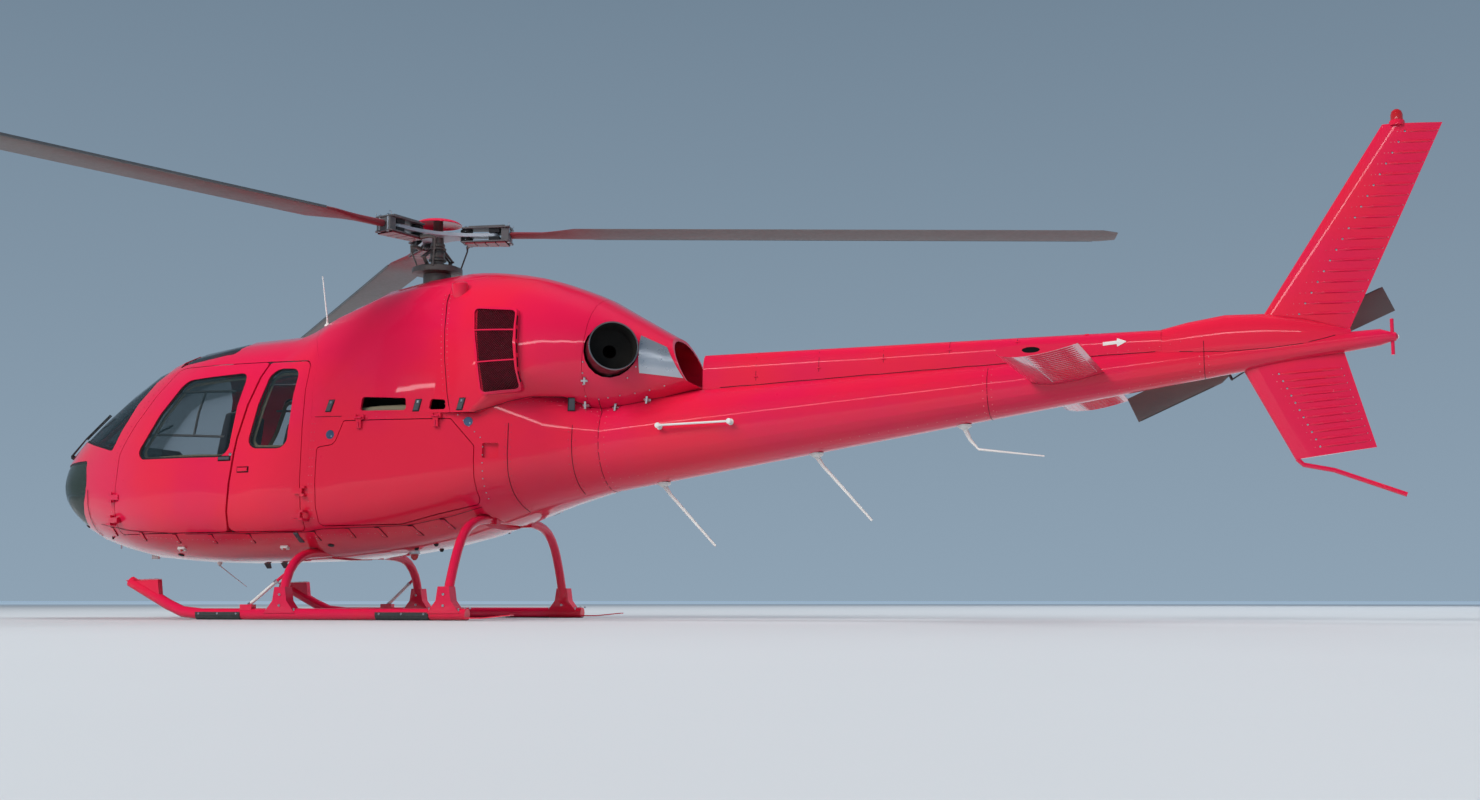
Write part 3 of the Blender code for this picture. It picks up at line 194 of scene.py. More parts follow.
def along(points, x):
    """The value at x of the smooth line through (x, value) points."""
    if x <= points[0][0]:
        return points[0][1]
    if x >= points[-1][0]:
        return points[-1][1]
    slopes = [(v1 - v0) / (x1 - x0) for (x0, v0), (x1, v1) in zip(points, points[1:])]
    inner = [2 * a * b / (a + b) if a * b > 0 else 0.0 for a, b in zip(slopes, slopes[1:])]
    tangents = [slopes[0], *inner, slopes[-1]]
    i = next(i for i, (x1, _) in enumerate(points[1:]) if x <= x1)
    (x0, v0), (x1, v1) = points[i], points[i + 1]
    span = x1 - x0
    t = (x - x0) / span
    ease = t * t * (3 - 2 * t)
    return (v0 + (v1 - v0) * ease + tangents[i] * span * t * (1 - t) ** 2
            - tangents[i + 1] * span * t * t * (1 - t))


def bulge(lines, point):
    """How far out a point lies among a set of body lines: 1 is on the skin."""
    waist = along(lines["waist"], point.x)
    high = point.z >= waist
    reach = abs(along(lines["top" if high else "bottom"], point.x) - waist)
    sharp = along(lines["upper" if high else "lower"], point.x)
    wide = along(lines["width"], point.x)
    return (abs(point.y) / wide) ** sharp + (abs(point.z - waist) / reach) ** sharp


def outward_of(lines):
    """The direction square to the body lines at a point."""
    def outward(point):
        step = 0.004
        slope = [bulge(lines, point + axis * step) - bulge(lines, point - axis * step)
                 for axis in (X, Y, Z)]
        return Vector(slope).normalized()
    return outward


def boom_line(x):
    """(radius, height) of the tail cone at a station."""
    share = (x - BOOM_START) / BOOM_LENGTH
    return BOOM_RADIUS - BOOM_TAPER * share, BOOM_HEIGHT + BOOM_RISE * share


def boom_outward(point):
    spoke = Vector((0, point.y, point.z - boom_line(point.x)[1])).normalized()
    return (spoke + X * (BOOM_FLARE - BOOM_SLOPE * spoke.z)).normalized()


def cowl_outward(point):
    return outward_of(BODY if point.x < COWL_START else COWL)(point)


def soften(node, outward=None, limit=35.0):
    """Shades a CAD node as the smooth panel it stands for: with the body lines' own normals where a
    face lies along them, and otherwise blended over edges duller than the limit."""
    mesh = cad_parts[node].data
    cosine = math.cos(math.radians(limit))
    corners = {}
    for face in mesh.polygons:
        for loop in face.loop_indices:
            point = mesh.vertices[mesh.loops[loop].vertex_index].co
            corners.setdefault(tuple(round(c, 5) for c in point), []).append((loop, face))
    normals = [None] * len(mesh.loops)
    for place, around in corners.items():
        ideal = outward(Vector(place) + DATUM) if outward else None
        for loop, face in around:
            facing = ideal.dot(face.normal) if ideal else 0.0
            if abs(facing) > cosine:
                normals[loop] = ideal * math.copysign(1, facing)
                continue
            total = Vector()
            for _, other in around:
                if other.normal.dot(face.normal) > cosine:
                    total += other.normal * other.area
            normals[loop] = total.normalized() if total.length > 0 else face.normal
    mesh.normals_split_custom_set(normals)


def dress(finish, *nodes):
    for name in nodes:
        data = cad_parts[name].data
        data.materials.clear()
        data.materials.append(finish.material)


def both(*kinds):
    """The port and starboard nodes of each kind."""
    return [f"{kind}_{word}" for kind in kinds for word, _ in SIDES]


red_paint = painted("crimson_paint")
BODY_NODES = ["cabin_shell", "centre_fuselage"]
LIDS = both("front_door", "rear_door", "baggage_door")
COWL_NODES = ["transmission_cowl", "engine_cowl", "rear_fairing"]
for name in BODY_NODES + LIDS:
    soften(name, outward_of(BODY))
for name in COWL_NODES:
    soften(name, cowl_outward)
soften("tail_boom", boom_outward)
dress(red_paint, "tail_boom", *BODY_NODES, *LIDS, *COWL_NODES)


# ---- Windows ----
# Tinted acrylic panes, each held in its frame by a black rubber seal that laps the paint and the
# pane. Inside the doors a khaki trim strip hides the edge of each pane.
def circle(centre, across, spoke, radius, steps):
    """Points round a centre, in the plane of two directions."""
    turns = [math.tau * k / steps for k in range(steps)]
    return [centre + (across * math.cos(t) + spoke * math.sin(t)) * radius for t in turns]


class Form:
    """The closed bodies of one piece, in metres from the nose."""

    def __init__(self):
        self.mesh = bmesh.new()

    def skin(self, loops, ring=False):
        """A surface through loops of equal counts, capped at both ends or joined in a ring."""
        rows = [[self.mesh.verts.new(point) for point in loop] for loop in loops]
        for here, beyond in zip(rows, rows[1:] + rows[:1] if ring else rows[1:]):
            for i in range(len(here)):
                self.mesh.faces.new((here[i - 1], here[i], beyond[i], beyond[i - 1]))
        if not ring:
            self.mesh.faces.new(reversed(rows[0]))
            self.mesh.faces.new(rows[-1])
        return self

    def bar(self, points, radius, sides=8, ring=False):
        """A round bar along points, of one radius or of one at each point."""
        points = [Vector(point) for point in points]
        radii = radius if isinstance(radius, (list, tuple)) else [radius] * len(points)
        loops, across = [], None
        for i, (point, size) in enumerate(zip(points, radii)):
            if ring:
                course = points[(i + 1) % len(points)] - points[i - 1]
            else:
                course = points[min(i + 1, len(points) - 1)] - points[max(i - 1, 0)]
            course.normalize()
            across = course.orthogonal() if across is None else across - course * across.dot(course)
            across.normalize()
            loops.append(circle(point, across, course.cross(across), size, sides))
        return self.skin(loops, ring)

    def strip(self, line, width, height, ring=False, sink=0.001):
        """A flat strip with chamfered edges, laid on a surface along (point, outward) pairs."""
        loops = []
        for i, (point, outward) in enumerate(line):
            ahead = line[(i + 1) % len(line) if ring else min(i + 1, len(line) - 1)][0]
            behind = line[i - 1 if ring else max(i - 1, 0)][0]
            across = outward.cross(ahead - behind).normalized() * width / 2
            low, high = point - outward * sink, point + outward * height
            loops.append([low - across, high - across * 0.72, high + across * 0.72, low + across])
        return self.skin(loops, ring)

    def slab(self, outline, depth):
        """A flat outline with depth, a vector."""
        return self.skin([[Vector(p) for p in outline], [Vector(p) + depth for p in outline]])

    def turned(self, profile, centre, axis=Z, steps=32):
        """A round body on an axis, from (radius, height) points."""
        axis = Vector(axis).normalized()
        across = axis.orthogonal().normalized()
        spoke = axis.cross(across)
        return self.skin([circle(Vector(centre) + axis * height, across, spoke, radius, steps)
                          for radius, height in profile])

    def block(self, centre, size, along_axis=X, up=Z):
        """A rectangular block with its length along one axis and its height along another."""
        ahead = Vector(along_axis).normalized()
        left = Vector(up).cross(ahead).normalized()
        rise = ahead.cross(left)
        a, b, c = ahead * size[0] / 2, left * size[1] / 2, rise * size[2] / 2
        corners = [-a - b, a - b, a + b, -a + b]
        return self.slab([Vector(centre) + corner - c for corner in corners], c * 2)

    def dome(self, point, outward, radius=0.0045, rise=0.0018, sides=6):
        """A rivet or bolt head on a surface."""
        profile = [(radius, -0.001), (radius, rise * 0.35), (radius * 0.6, rise)]
        return self.turned(profile, point, outward, sides)

    def piece(self, name, finish, body="airframe", slot=None, sharp=32.0, bevel=0.0):
        bmesh.ops.recalc_face_normals(self.mesh, faces=self.mesh.faces)
        limit = math.radians(sharp)
        for edge in self.mesh.edges:
            edge.smooth = edge.calc_face_angle(0.0) < limit
        for face in self.mesh.faces:
            face.smooth = True
        mesh = bpy.data.meshes.new(name)
        self.mesh.to_mesh(mesh)
        self.mesh.free()
        mesh.materials.append(finish.material)
        made = bpy.data.objects.new(name, mesh)
        made.location = -DATUM
        bpy.context.scene.collection.objects.link(made)
        if bevel:
            edges = made.modifiers.new("rounded edges", "BEVEL")
            edges.width = bevel
            edges.segments = 2
        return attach(made, body)


def rim(node, outward, least=0.3):
    """The outer edges of a panel as loops of (point, outward), the longest first."""
    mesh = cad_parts[node].data
    skin_edges, places = {}, {}
    for face in mesh.polygons:
        centre = face.center + DATUM
        if face.normal.dot(outward(centre)) < 0.82:
            continue
        corners = [tuple(round(c, 5) for c in mesh.vertices[v].co + DATUM) for v in face.vertices]
        for a, b in zip(corners, corners[1:] + corners[:1]):
            places[a], places[b] = Vector(a), Vector(b)
            key = (b, a) if (b, a) in skin_edges else (a, b)
            skin_edges[key] = skin_edges.get(key, 0) + 1
    onward = {a: b for (a, b), uses in skin_edges.items() if uses == 1}
    loops = []
    while onward:
        start, after = onward.popitem()
        walk = [start, after]
        while walk[-1] in onward:
            walk.append(onward.pop(walk[-1]))
        loop = [places[key] for key in walk]
        length = sum((b - a).length for a, b in zip(loop, loop[1:]))
        if length > least and (loop[0] - loop[-1]).length < 0.001:
            loops.append((length, even(loop, length)))
    loops.sort(key=lambda pair: -pair[0])
    return [[(point, outward(point)) for point in loop] for _, loop in loops]


def even(line, length, spacing=0.02):
    """A closed line's points again, at even spacing."""
    count = max(8, round(length / spacing))
    marks = [length * k / count for k in range(count)]
    points, run, i = [], 0.0, 0
    for mark in marks:
        while run + (line[i + 1] - line[i]).length < mark:
            run += (line[i + 1] - line[i]).length
            i += 1
        span = (line[i + 1] - line[i]).length
        points.append(line[i].lerp(line[i + 1], (mark - run) / span if span else 0.0))
    return points


skin_outward = outward_of(BODY)
rubber = mottled("black_rubber", (30.0,), (0.012, 0.012, 0.013), (0.022, 0.022, 0.024),
                 0.45, 0.2, 60.0, Specular_IOR_Level=0.35).relief(900.0, 0.05, 0.001)


def pane_finish(name, tint, clear):
    """Acrylic: it lets light through by its alpha and shines on top."""
    pane = Finish(name, Metallic=0.0, Coat_Roughness=0.02, Specular_IOR_Level=0.6)
    grazing = pane.node("ShaderNodeLayerWeight", {}, {"Blend": 0.25}, "Fresnel")
    pane.put(Base_Color=pane.blend(pane.noise(1.5), tint, tuple(c * 1.25 for c in tint)))
    pane.put(Alpha=grazing * 0.6 + clear, Roughness=pane.noise(3.0) * 0.03 + 0.02)
    pane.material.surface_render_method = "BLENDED"
    return pane


pane_tint = pane_finish("tinted_acrylic", (0.015, 0.028, 0.034), 0.16)
chin_tint = pane_finish("green_acrylic", (0.035, 0.055, 0.048), 0.34)
khaki = mottled("khaki_trim", (20.0,), (0.20, 0.175, 0.115), (0.25, 0.22, 0.15), 0.6, 0.2, 90.0,
                Metallic=0.0)

# Each kind of pane: the body that holds it, and the seal's width and height
PANES = {
    "windscreen": ("airframe", 0.030, 0.004),
    "chin_window": ("airframe", 0.034, 0.005),
    "roof_window": ("airframe", 0.026, 0.003),
    "front_door_glass": ("front_door", 0.024, 0.004),
    "rear_door_glass": ("rear_door", 0.022, 0.004),
}
TRIM_IN, TRIM_BEHIND, TRIM_WIDTH = 0.016, 0.034, 0.034
for kind, (holder, seal_width, seal_height) in PANES.items():
    for word, side in SIDES:
        pane_node = f"{kind}_{word}"
        body = holder if holder == "airframe" else f"{holder}_{word}"
        soften(pane_node, skin_outward)
        dress(chin_tint if kind == "chin_window" else pane_tint, pane_node)
        edge = rim(pane_node, skin_outward)[0]
        seal = Form().strip(edge, seal_width, seal_height, ring=True)
        seal.piece(f"{kind}_seal_{word}", rubber, body, "matt_black", sharp=60.0)
        if holder == "airframe":
            continue
        middle = sum((point for point, _ in edge), Vector()) / len(edge)
        trim_edge = [
            (point + (middle - point).normalized() * TRIM_IN - outward * TRIM_BEHIND, outward)
            for point, outward in edge
        ]
        trim = Form().strip(trim_edge, TRIM_WIDTH, 0.006, ring=True, sink=0.002)
        trim.piece(f"{kind}_trim_{word}", khaki, body, "floor_grey", sharp=60.0)

# ---- Seams and rivets ----
# The panels meet in thin dark joints. Flush rivets run beside them at an even pitch, painted
# paler than the skin as a painted highlight, and bright screws hold the filler panel on each side.
OUTER_NODES = BODY_NODES + LIDS + COWL_NODES
OUTER_NODES += ["tail_boom", "drive_shaft_cover", "tail_gearbox_fairing"] + both(*PANES)
DECK_LINE = ((2.92, 1.515), (4.22, 1.515), (4.42, 1.60), (4.58, 1.64), (4.80, 1.64),
             (4.95, 1.565), (5.03, 1.565))
SILL = ((0.804, 0.748), (1.198, 0.685), (1.803, 0.648), (2.325, 0.645), (2.86, 0.650),
        (2.99, 0.672), (3.40, 0.682), (3.65, 0.695), (3.95, 0.755), (4.19, 0.828))
SILL_RIVETS = tuple((x, z - 0.042) for x, z in SILL[:-1])
REAR_FRAME = ((4.43, 0.80), (4.43, 1.44))
END_FRAME = ((4.855, 0.93), (4.855, 1.43))
FILLER_FRAME = ((4.24, 0.86), (4.245, 1.30), (4.05, 1.50))
NOSE_SPLIT = ((0.655, 0.66), (0.665, 1.03))
DOOR_POST = ((1.0, 0.70), (1.035, 1.31), (1.43, 1.99))
CABIN_AFT = ((2.945, 0.72), (2.95, 1.48))
COWL_EDGE = ((2.955, 1.509), (3.10, 1.507), (3.18, 1.507))
COWL_FOOT = ((2.96, 1.497), (3.40, 1.495), (4.0, 1.495))
AFT_COWL_FOOT = tuple((x, z - 0.03) for x, z in DECK_LINE[1:])
COWL_SPLIT = ((4.025, 1.56), (3.90, 2.20), (3.845, 2.46))
SEAMS = (SILL, REAR_FRAME, END_FRAME, NOSE_SPLIT, COWL_SPLIT, COWL_EDGE, DECK_LINE[1:-1])
# Rows of rivets, as (line, offset across it, pitch)
RIVET_ROWS = (
    (SILL_RIVETS, 0.0, 0.052), (REAR_FRAME, 0.022, 0.055), (REAR_FRAME, -0.022, 0.055),
    (END_FRAME, 0.025, 0.06), (END_FRAME, -0.025, 0.06), (DOOR_POST, 0.0, 0.06),
    (CABIN_AFT, 0.012, 0.065), (CABIN_AFT, -0.012, 0.065), (COWL_FOOT, 0.0, 0.08),
    (AFT_COWL_FOOT, 0.0, 0.045), (COWL_SPLIT, 0.028, 0.05), (COWL_SPLIT, -0.022, 0.05),
    (NOSE_SPLIT, 0.02, 0.045), (NOSE_SPLIT, -0.02, 0.045),
)
BOOM_RIVET_SEAMS = (5.05, 7.90, 9.36)
BOOM_JOINTS = (5.035, 7.90, 9.36)
BOOM_RIVET_PITCH = 0.055
BOOM_STRINGERS = (35, 145, 215, 325)
# Covers whose lower edge shows as a joint, as (node, first and last station, steps)
COVER_FEET = (("drive_shaft_cover", 5.90, 9.12, 40), ("tail_gearbox_fairing", 9.20, 10.20, 14),
              ("rear_fairing", 5.09, 5.73, 12))


def tree_of(nodes):
    """A search tree over CAD nodes, in metres from the nose."""
    points, faces = [], []
    for node in nodes:
        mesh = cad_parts[node].data
        first = len(points)
        points += [vertex.co + DATUM for vertex in mesh.vertices]
        faces += [[first + v for v in face.vertices] for face in mesh.polygons]
    return BVHTree.FromPolygons(points, faces)


outer_skin = tree_of(OUTER_NODES)


def outward_at(point):
    radius, height = boom_line(point.x)
    if point.x > BOOM_START and math.hypot(point.y, point.z - height) < radius + 0.03:
        return boom_outward(point)
    if point.x < COWL_START or point.z < along(DECK_LINE, point.x):
        return skin_outward(point)
    return cowl_outward(point)


def land(point, towards, reach=0.008):
    """Where the skin lies from a point outside it: the nearest of a few hits, so that a gap between
    two panels doesn't count."""
    towards = Vector(towards).normalized()
    side_step = towards.orthogonal().normalized() * reach
    hits = []
    for angle in (0, 90, 180, 270):
        start = Vector(point) + Matrix.Rotation(math.radians(angle), 3, towards) @ side_step
        hit = outer_skin.ray_cast(start, towards, 6.0)
        if hit[0]:
            hits.append(hit[3])
    return Vector(point) + towards * min(hits) if hits else None


def on_side(x, z, side, lift=0.0):
    """The skin's (point, outward) at a station and height of one side."""
    point = land((x, side * 2.5, z), (0, -side, 0))
    if point is None:
        raise ValueError(f"no skin at {x:.3f}, {z:.3f}")
    outward = outward_at(point)
    return point + outward * lift, outward


def side_line(points, side, spacing=0.03):
    """A line on the skin through (x, z) points seen from the side."""
    line = []
    for (x0, z0), (x1, z1) in zip(points, points[1:]):
        count = max(1, round(math.hypot(x1 - x0, z1 - z0) / spacing))
        line += [on_side(x0 + (x1 - x0) * k / count, z0 + (z1 - z0) * k / count, side)
                 for k in range(count)]
    return line + [on_side(*points[-1], side)]


def smoothed(line):
    """Evens out the steps where a line crosses from one panel to another."""
    middle = [((a[0] + b[0] * 2 + c[0]) / 4, b[1]) for a, b, c in zip(line, line[1:], line[2:])]
    return line[:1] + middle + line[-1:]


def beside(line, offset, pitch):
    """(point, outward) at an even pitch along a line, offset across it."""
    marks, run, due = [], 0.0, pitch / 2
    for (a, outward), (b, _) in zip(line, line[1:]):
        span = (b - a).length
        while span and due <= run + span:
            across = outward.cross(b - a).normalized()
            marks.append((a.lerp(b, (due - run) / span) + across * offset, outward))
            due += pitch
        run += span
    return marks


def on_boom(station, angle):
    """The skin's (point, outward) round the tail cone, at an angle in radians from the top."""
    spoke = Vector((0, math.sin(angle), math.cos(angle)))
    outside = Vector((station, 0, boom_line(station)[1])) + spoke * 0.8
    hit = outer_skin.ray_cast(outside, -spoke, 1.0)[0]
    return (hit, boom_outward(hit)) if hit else None


def faced(tree, starts, outward, reach=1.0):
    """The surface's (point, outward) as seen from each of the starts that looks onto it."""
    hits = [tree.ray_cast(start, -outward, reach)[0] for start in starts]
    return [(hit, outward) for hit in hits if hit]


def foot_line(node, x0, x1, side, steps):
    """The lowest line that a panel shows from one side."""
    panel = tree_of([node])
    line = []
    for k in range(steps + 1):
        x = x0 + (x1 - x0) * k / steps
        height = boom_line(x)[1] - 0.1
        found = None
        while height < 2.2 and found is None:
            found = panel.ray_cast(Vector((x, side * 1.5, height)), Vector((0, -side, 0)), 1.5)[0]
            height += 0.004
        if found:
            line.append((found + Z * 0.001, Y * side))
    return line


joint_black = Finish("joint_shadow", Roughness=0.6, Specular_IOR_Level=0.2)
joint_black.put(Base_Color=joint_black.blend(
    joint_black.noise(9.0), (0.02, 0.004, 0.006), (0.03, 0.006, 0.009)))
# Rivet heads in a paler crimson with pale pink patches: painted highlight for the light they catch.
rivet_highlight_paint = painted("rivet_highlight_paint", (0.60, 0.03, 0.075), (0.74, 0.16, 0.19), 1.0)
bright_steel = mottled("zinc_plated_steel", (12.0,), (0.62, 0.63, 0.65), (0.50, 0.51, 0.53),
                       0.22, 0.2, 50.0, Metallic=1.0)

joints, flush_rivets, bright_bolts = Form(), Form(), Form()
for _, side in SIDES:
    for seam in SEAMS:
        joints.strip(smoothed(side_line(seam, side)), 0.004, 0.0006)
    for points, offset, pitch in RIVET_ROWS:
        for point, outward in beside(side_line(points, side), offset, pitch):
            flush_rivets.dome(point, outward, 0.0042, 0.0012)
    for point, outward in beside(side_line(FILLER_FRAME, side), 0.022 * side, 0.06):
        bright_bolts.dome(point, outward, 0.0055, 0.0018)

for seam in BOOM_RIVET_SEAMS:
    for station in (seam - 0.03, seam + 0.03):
        radius, height = boom_line(station)
        count = round(math.tau * radius / BOOM_RIVET_PITCH)
        for k in range(count):
            spot = on_boom(station, math.tau * k / count)
            if spot and math.hypot(spot[0].y, spot[0].z - height) < radius + 0.01:
                flush_rivets.dome(*spot, 0.0042, 0.0014)
for angle in BOOM_STRINGERS:
    for k in range(62):
        spot = on_boom(5.15 + 0.07 * k, math.radians(angle))
        if spot:
            flush_rivets.dome(*spot, 0.0035, 0.0010)
for station in BOOM_JOINTS:
    ring = [on_boom(station, math.radians(42 + 276 * k / 48)) for k in range(49)]
    joints.strip(ring, 0.005, 0.0008)
for _, side in SIDES:
    for node, x0, x1, steps in COVER_FEET:
        joints.strip(foot_line(node, x0, x1, side, steps), 0.005, 0.0010)
joints.piece("panel_joints", joint_black, slot="red_paint", sharp=60.0)
flush_rivets.piece("flush_rivets", rivet_highlight_paint, slot="red_paint", sharp=60.0)


# ---- Latches, locks, handles and hinges ----
# Draw latches of pressed steel sit under the sill and along the cowls, some of them in black rubber
# boots. Round push locks, sunk door handles and painted hinge arms are screwed to the panels.
def patch(form, x, z, side, half_along, half_up, lean=0.0, height=0.004, lift=0.0):
    """A small plate that follows the skin, leaning aft by lean at its top."""
    corners = []
    for u, v in ((-1, -1), (1, -1), (1, 1), (-1, 1)):
        corners.append(on_side(x + u * half_along + v * lean, z + v * half_up, side, lift))
    outward = sum((corner[1] for corner in corners), Vector()).normalized()
    middle = on_side(x, z, side, lift)[0]
    form.skin([
        [point - outward * 0.002 for point, _ in corners],
        [point + outward * height * 0.7 for point, _ in corners],
        [point + outward * height + (middle - point) * 0.10 for point, _ in corners],
    ])
    return outward


SILL_LATCHES = (0.954, 1.313, 1.673, 2.02, 2.36, 2.913, 3.194, 3.42, 3.66, 3.90)
LATCH_DROP = 0.036
BLACK_LATCH_X = 2.77
ROUND_LOCKS = ((3.094, 1.371), (4.155, 1.450))
LOCK_FACE = ((0.034, -0.003), (0.034, 0.001), (0.031, 0.003), (0.022, 0.0025), (0.020, 0.004),
             (0.006, 0.0045))
LID_HINGES = ((3.33, 1.49), (3.93, 1.49))
BOOTED_LATCHES = ((3.07, 1.59, 0.012), (3.775, 1.575, 0.008), (4.12, 1.575, 0.012),
                  (4.842, 1.585, 0.008))
BARE_LATCHES = ((4.979, 1.747), (4.928, 1.582), (5.141, 1.567), (5.379, 1.615))

# The dark rim round each sill latch is painted shade of the recess that the latch sits in.
latch_recess_shade, latch_plates, boots, boot_rims = Form(), Form(), Form(), Form()
steel_latches, lock_faces, hinge_arms = Form(), Form(), Form()
for _, side in SIDES:
    for x in SILL_LATCHES:
        z = along(SILL, x) - LATCH_DROP
        patch(latch_recess_shade, x, z, side, 0.017, 0.034, -0.004, 0.0018)
        patch(latch_plates, x, z, side, 0.014, 0.031, -0.004, 0.0040)
        bright_bolts.dome(*on_side(x - 0.002, z - 0.018, side, 0.0035), 0.0035, 0.001)
    z = along(SILL, BLACK_LATCH_X) - LATCH_DROP
    patch(boots, BLACK_LATCH_X, z, side, 0.018, 0.034, -0.004, 0.007)
    for x, z, lean in BOOTED_LATCHES:
        patch(boot_rims, x, z, side, 0.025, 0.047, lean, 0.0025)
        patch(boots, x, z, side, 0.020, 0.041, lean, 0.010)
        patch(steel_latches, x + lean * 0.6, z + 0.025, side, 0.007, 0.009, 0.0, 0.003, 0.008)
    for x, z in BARE_LATCHES:
        patch(steel_latches, x, z, side, 0.024, 0.007, 0.0, 0.006)
        patch(steel_latches, x, z, side, 0.007, 0.026, 0.006, 0.010)
        for offset in (-0.019, 0.019):
            bright_bolts.dome(*on_side(x + offset, z, side, 0.005), 0.004, 0.002)
    for x, z in ROUND_LOCKS:
        point, outward = on_side(x, z, side)
        lock_faces.turned(LOCK_FACE, point, outward, 28)
        bright_bolts.dome(*on_side(x + 0.012, z - 0.012, side, 0.003), 0.007, 0.002, 8)

for word, side in SIDES:
    lid_arms = Form()
    for x, z in LID_HINGES:
        top, outward = on_side(x, z, side)
        low, _ = on_side(x, z - 0.085, side)
        across = X * 0.030
        hinge_arms.bar([top - across + outward * 0.006, top + across + outward * 0.006], 0.007, 8)
        arm = side_line(((x, z - 0.032), (x, z - 0.085)), side, 0.015)
        lid_arms.strip(smoothed(arm), 0.012, 0.007)
        lid_arms.dome(low + outward * 0.006, outward, 0.006, 0.002)
    lid_arms.piece(f"lid_hinge_arms_{word}", red_paint, f"baggage_door_{word}", "red_paint")
lock_blue = mottled("anodised_lock", (30.0,), (0.10, 0.16, 0.26), (0.14, 0.21, 0.33),
                    0.3, 0.2, 80.0, Metallic=0.9)
boot_grey = mottled("boot_rubber", (25.0,), (0.05, 0.055, 0.065), (0.085, 0.09, 0.10),
                    0.5, 0.2, 70.0, Specular_IOR_Level=0.4)
latch_recess_shade.piece("sill_latch_recess_shade", joint_black, slot="red_paint")
latch_plates.piece("sill_latches", red_paint, slot="red_paint")
boot_rims.piece("latch_boot_rims", rubber, slot="matt_black")
boots.piece("latch_boots", boot_grey, slot="matt_black", bevel=0.002)
steel_latches.piece("over_centre_latches", bright_steel, slot="bare_metal")
lock_faces.piece("push_locks", lock_blue, slot="bare_metal")
hinge_arms.piece("lid_hinge_pins", red_paint, slot="red_paint")

# Door handles, as (door, station, height, half length, half height, finish)
HANDLES = (("front_door", 2.185, 1.215, 0.050, 0.012, boot_grey),
           ("rear_door", 2.36, 1.125, 0.044, 0.015, red_paint))
HANDLE_RISE, CUP_RISE, CUP_MARGIN = 0.012, 0.002, 0.008
KEY_LOCK = (2.238, 1.246)
# Round each handle a thin near-black cup is painted shade of the hollow the handle sits in.
for kind, x, z, along_half, up_half, finish in HANDLES:
    for word, side in SIDES:
        cup, grip = Form(), Form()
        patch(cup, x, z, side, along_half + CUP_MARGIN, up_half + CUP_MARGIN, 0.0, CUP_RISE)
        patch(grip, x, z, side, along_half, up_half, 0.0, HANDLE_RISE)
        door = f"{kind}_{word}"
        cup.piece(f"{kind}_handle_hollow_shade_{word}", joint_black, door, "matt_black")
        grip.piece(f"{kind}_handle_{word}", finish, door, "matt_black", bevel=0.003)
for word, side in SIDES:
    key_lock = Form().turned([(0.012, -0.002), (0.012, 0.003), (0.008, 0.005)],
                             *on_side(*KEY_LOCK, side), 16)
    key_lock.piece(f"front_door_key_lock_{word}", bright_steel, f"front_door_{word}", "bare_metal")


# ---- Cabin ----
# Two bucket seats and a bench in dark cloth over foam on painted stands, harness straps, a central
# console with its displays under a coaming, dual sticks and a hard-wearing grey floor.
cloth = Finish("seat_cloth", Sheen_Weight=0.4, Specular_IOR_Level=0.25)
weave = cloth.noise(260.0, 2.0, (1.0, 3.0, 1.0))
cloth.put(Base_Color=cloth.blend(
    weave.ramp(0.35, 0.65), (0.022, 0.024, 0.032), (0.05, 0.055, 0.07)))
cloth.put(Roughness=weave * 0.2 + 0.72).relief(weave, 0.25, 0.002)
floor_grey = mottled("floor_covering", (140.0,), (0.10, 0.10, 0.105), (0.15, 0.15, 0.155),
                     0.6, 0.25, 40.0, Specular_IOR_Level=0.3).relief(500.0, 0.2, 0.001)
black_plastic = mottled("matt_black_panel", (18.0,), (0.014, 0.014, 0.015), (0.024, 0.024, 0.026),
                        0.5, 0.2, 200.0, Specular_IOR_Level=0.4).relief(700.0, 0.12, 0.001)
screen_glass = mottled("display_glass", (5.0,), (0.006, 0.010, 0.014), (0.010, 0.016, 0.022),
                       0.06, 0.05, 20.0, Metallic=0.0)
dress(floor_grey, "cabin_floor", "cabin_bulkhead")
dress(black_plastic, "instrument_console")

FLOOR = 0.63
# Seats, as (node, shift aft, abeam, half width, number of backs)
SEATS = (("front_seat_left", -0.22, -0.42, 0.24, 1), ("front_seat_right", -0.22, 0.42, 0.24, 1),
         ("rear_bench", 0.58, 0.0, 0.72, 3))
CUSHION = ((1.635, 0.325), (1.645, 0.432), (1.86, 0.430), (2.035, 0.418), (2.075, 0.335))
BACKREST = ((2.085, 0.40), (2.135, 0.70), (2.205, 1.005), (2.275, 1.005), (2.235, 0.70),
            (2.165, 0.34))
PAD_GAP = 0.006
STAND_FEET = (1.68, 2.08)
STRAP = ((2.215, 1.006), (2.185, 0.99), (2.125, 0.72), (2.06, 0.445), (1.95, 0.436))
ON_BACK, ON_CUSHION = Vector((-1, 0, 0.35)).normalized(), Vector((-0.4, 0, 1)).normalized()


def cushion(name, outline, x_shift, y_low, y_high, puff):
    """A stuffed pad: a coarse cage with a crown, swelled by subdivision."""
    count = max(3, round((y_high - y_low) / 0.16))
    middle = Vector((sum(x for x, _ in outline), 0, sum(z for _, z in outline))) / len(outline)
    loops = []
    for k in range(count + 1):
        share = k / count
        crown = 1.0 + puff * (1 - abs(2 * share - 1) ** 3) - puff
        y = y_low + (y_high - y_low) * share
        loops.append([
            Vector((middle.x + (x - middle.x) * crown + x_shift, y,
                    FLOOR + middle.z + (z - middle.z) * crown))
            for x, z in outline
        ])
    made = Form().skin(loops).piece(name, cloth, slot="seat_cloth", sharp=180.0)
    edges = made.modifiers.new("seams", "BEVEL")
    edges.width = 0.022
    edges.segments = 2
    swell = made.modifiers.new("stuffing", "SUBSURF")
    swell.levels = swell.render_levels = 2
    return made


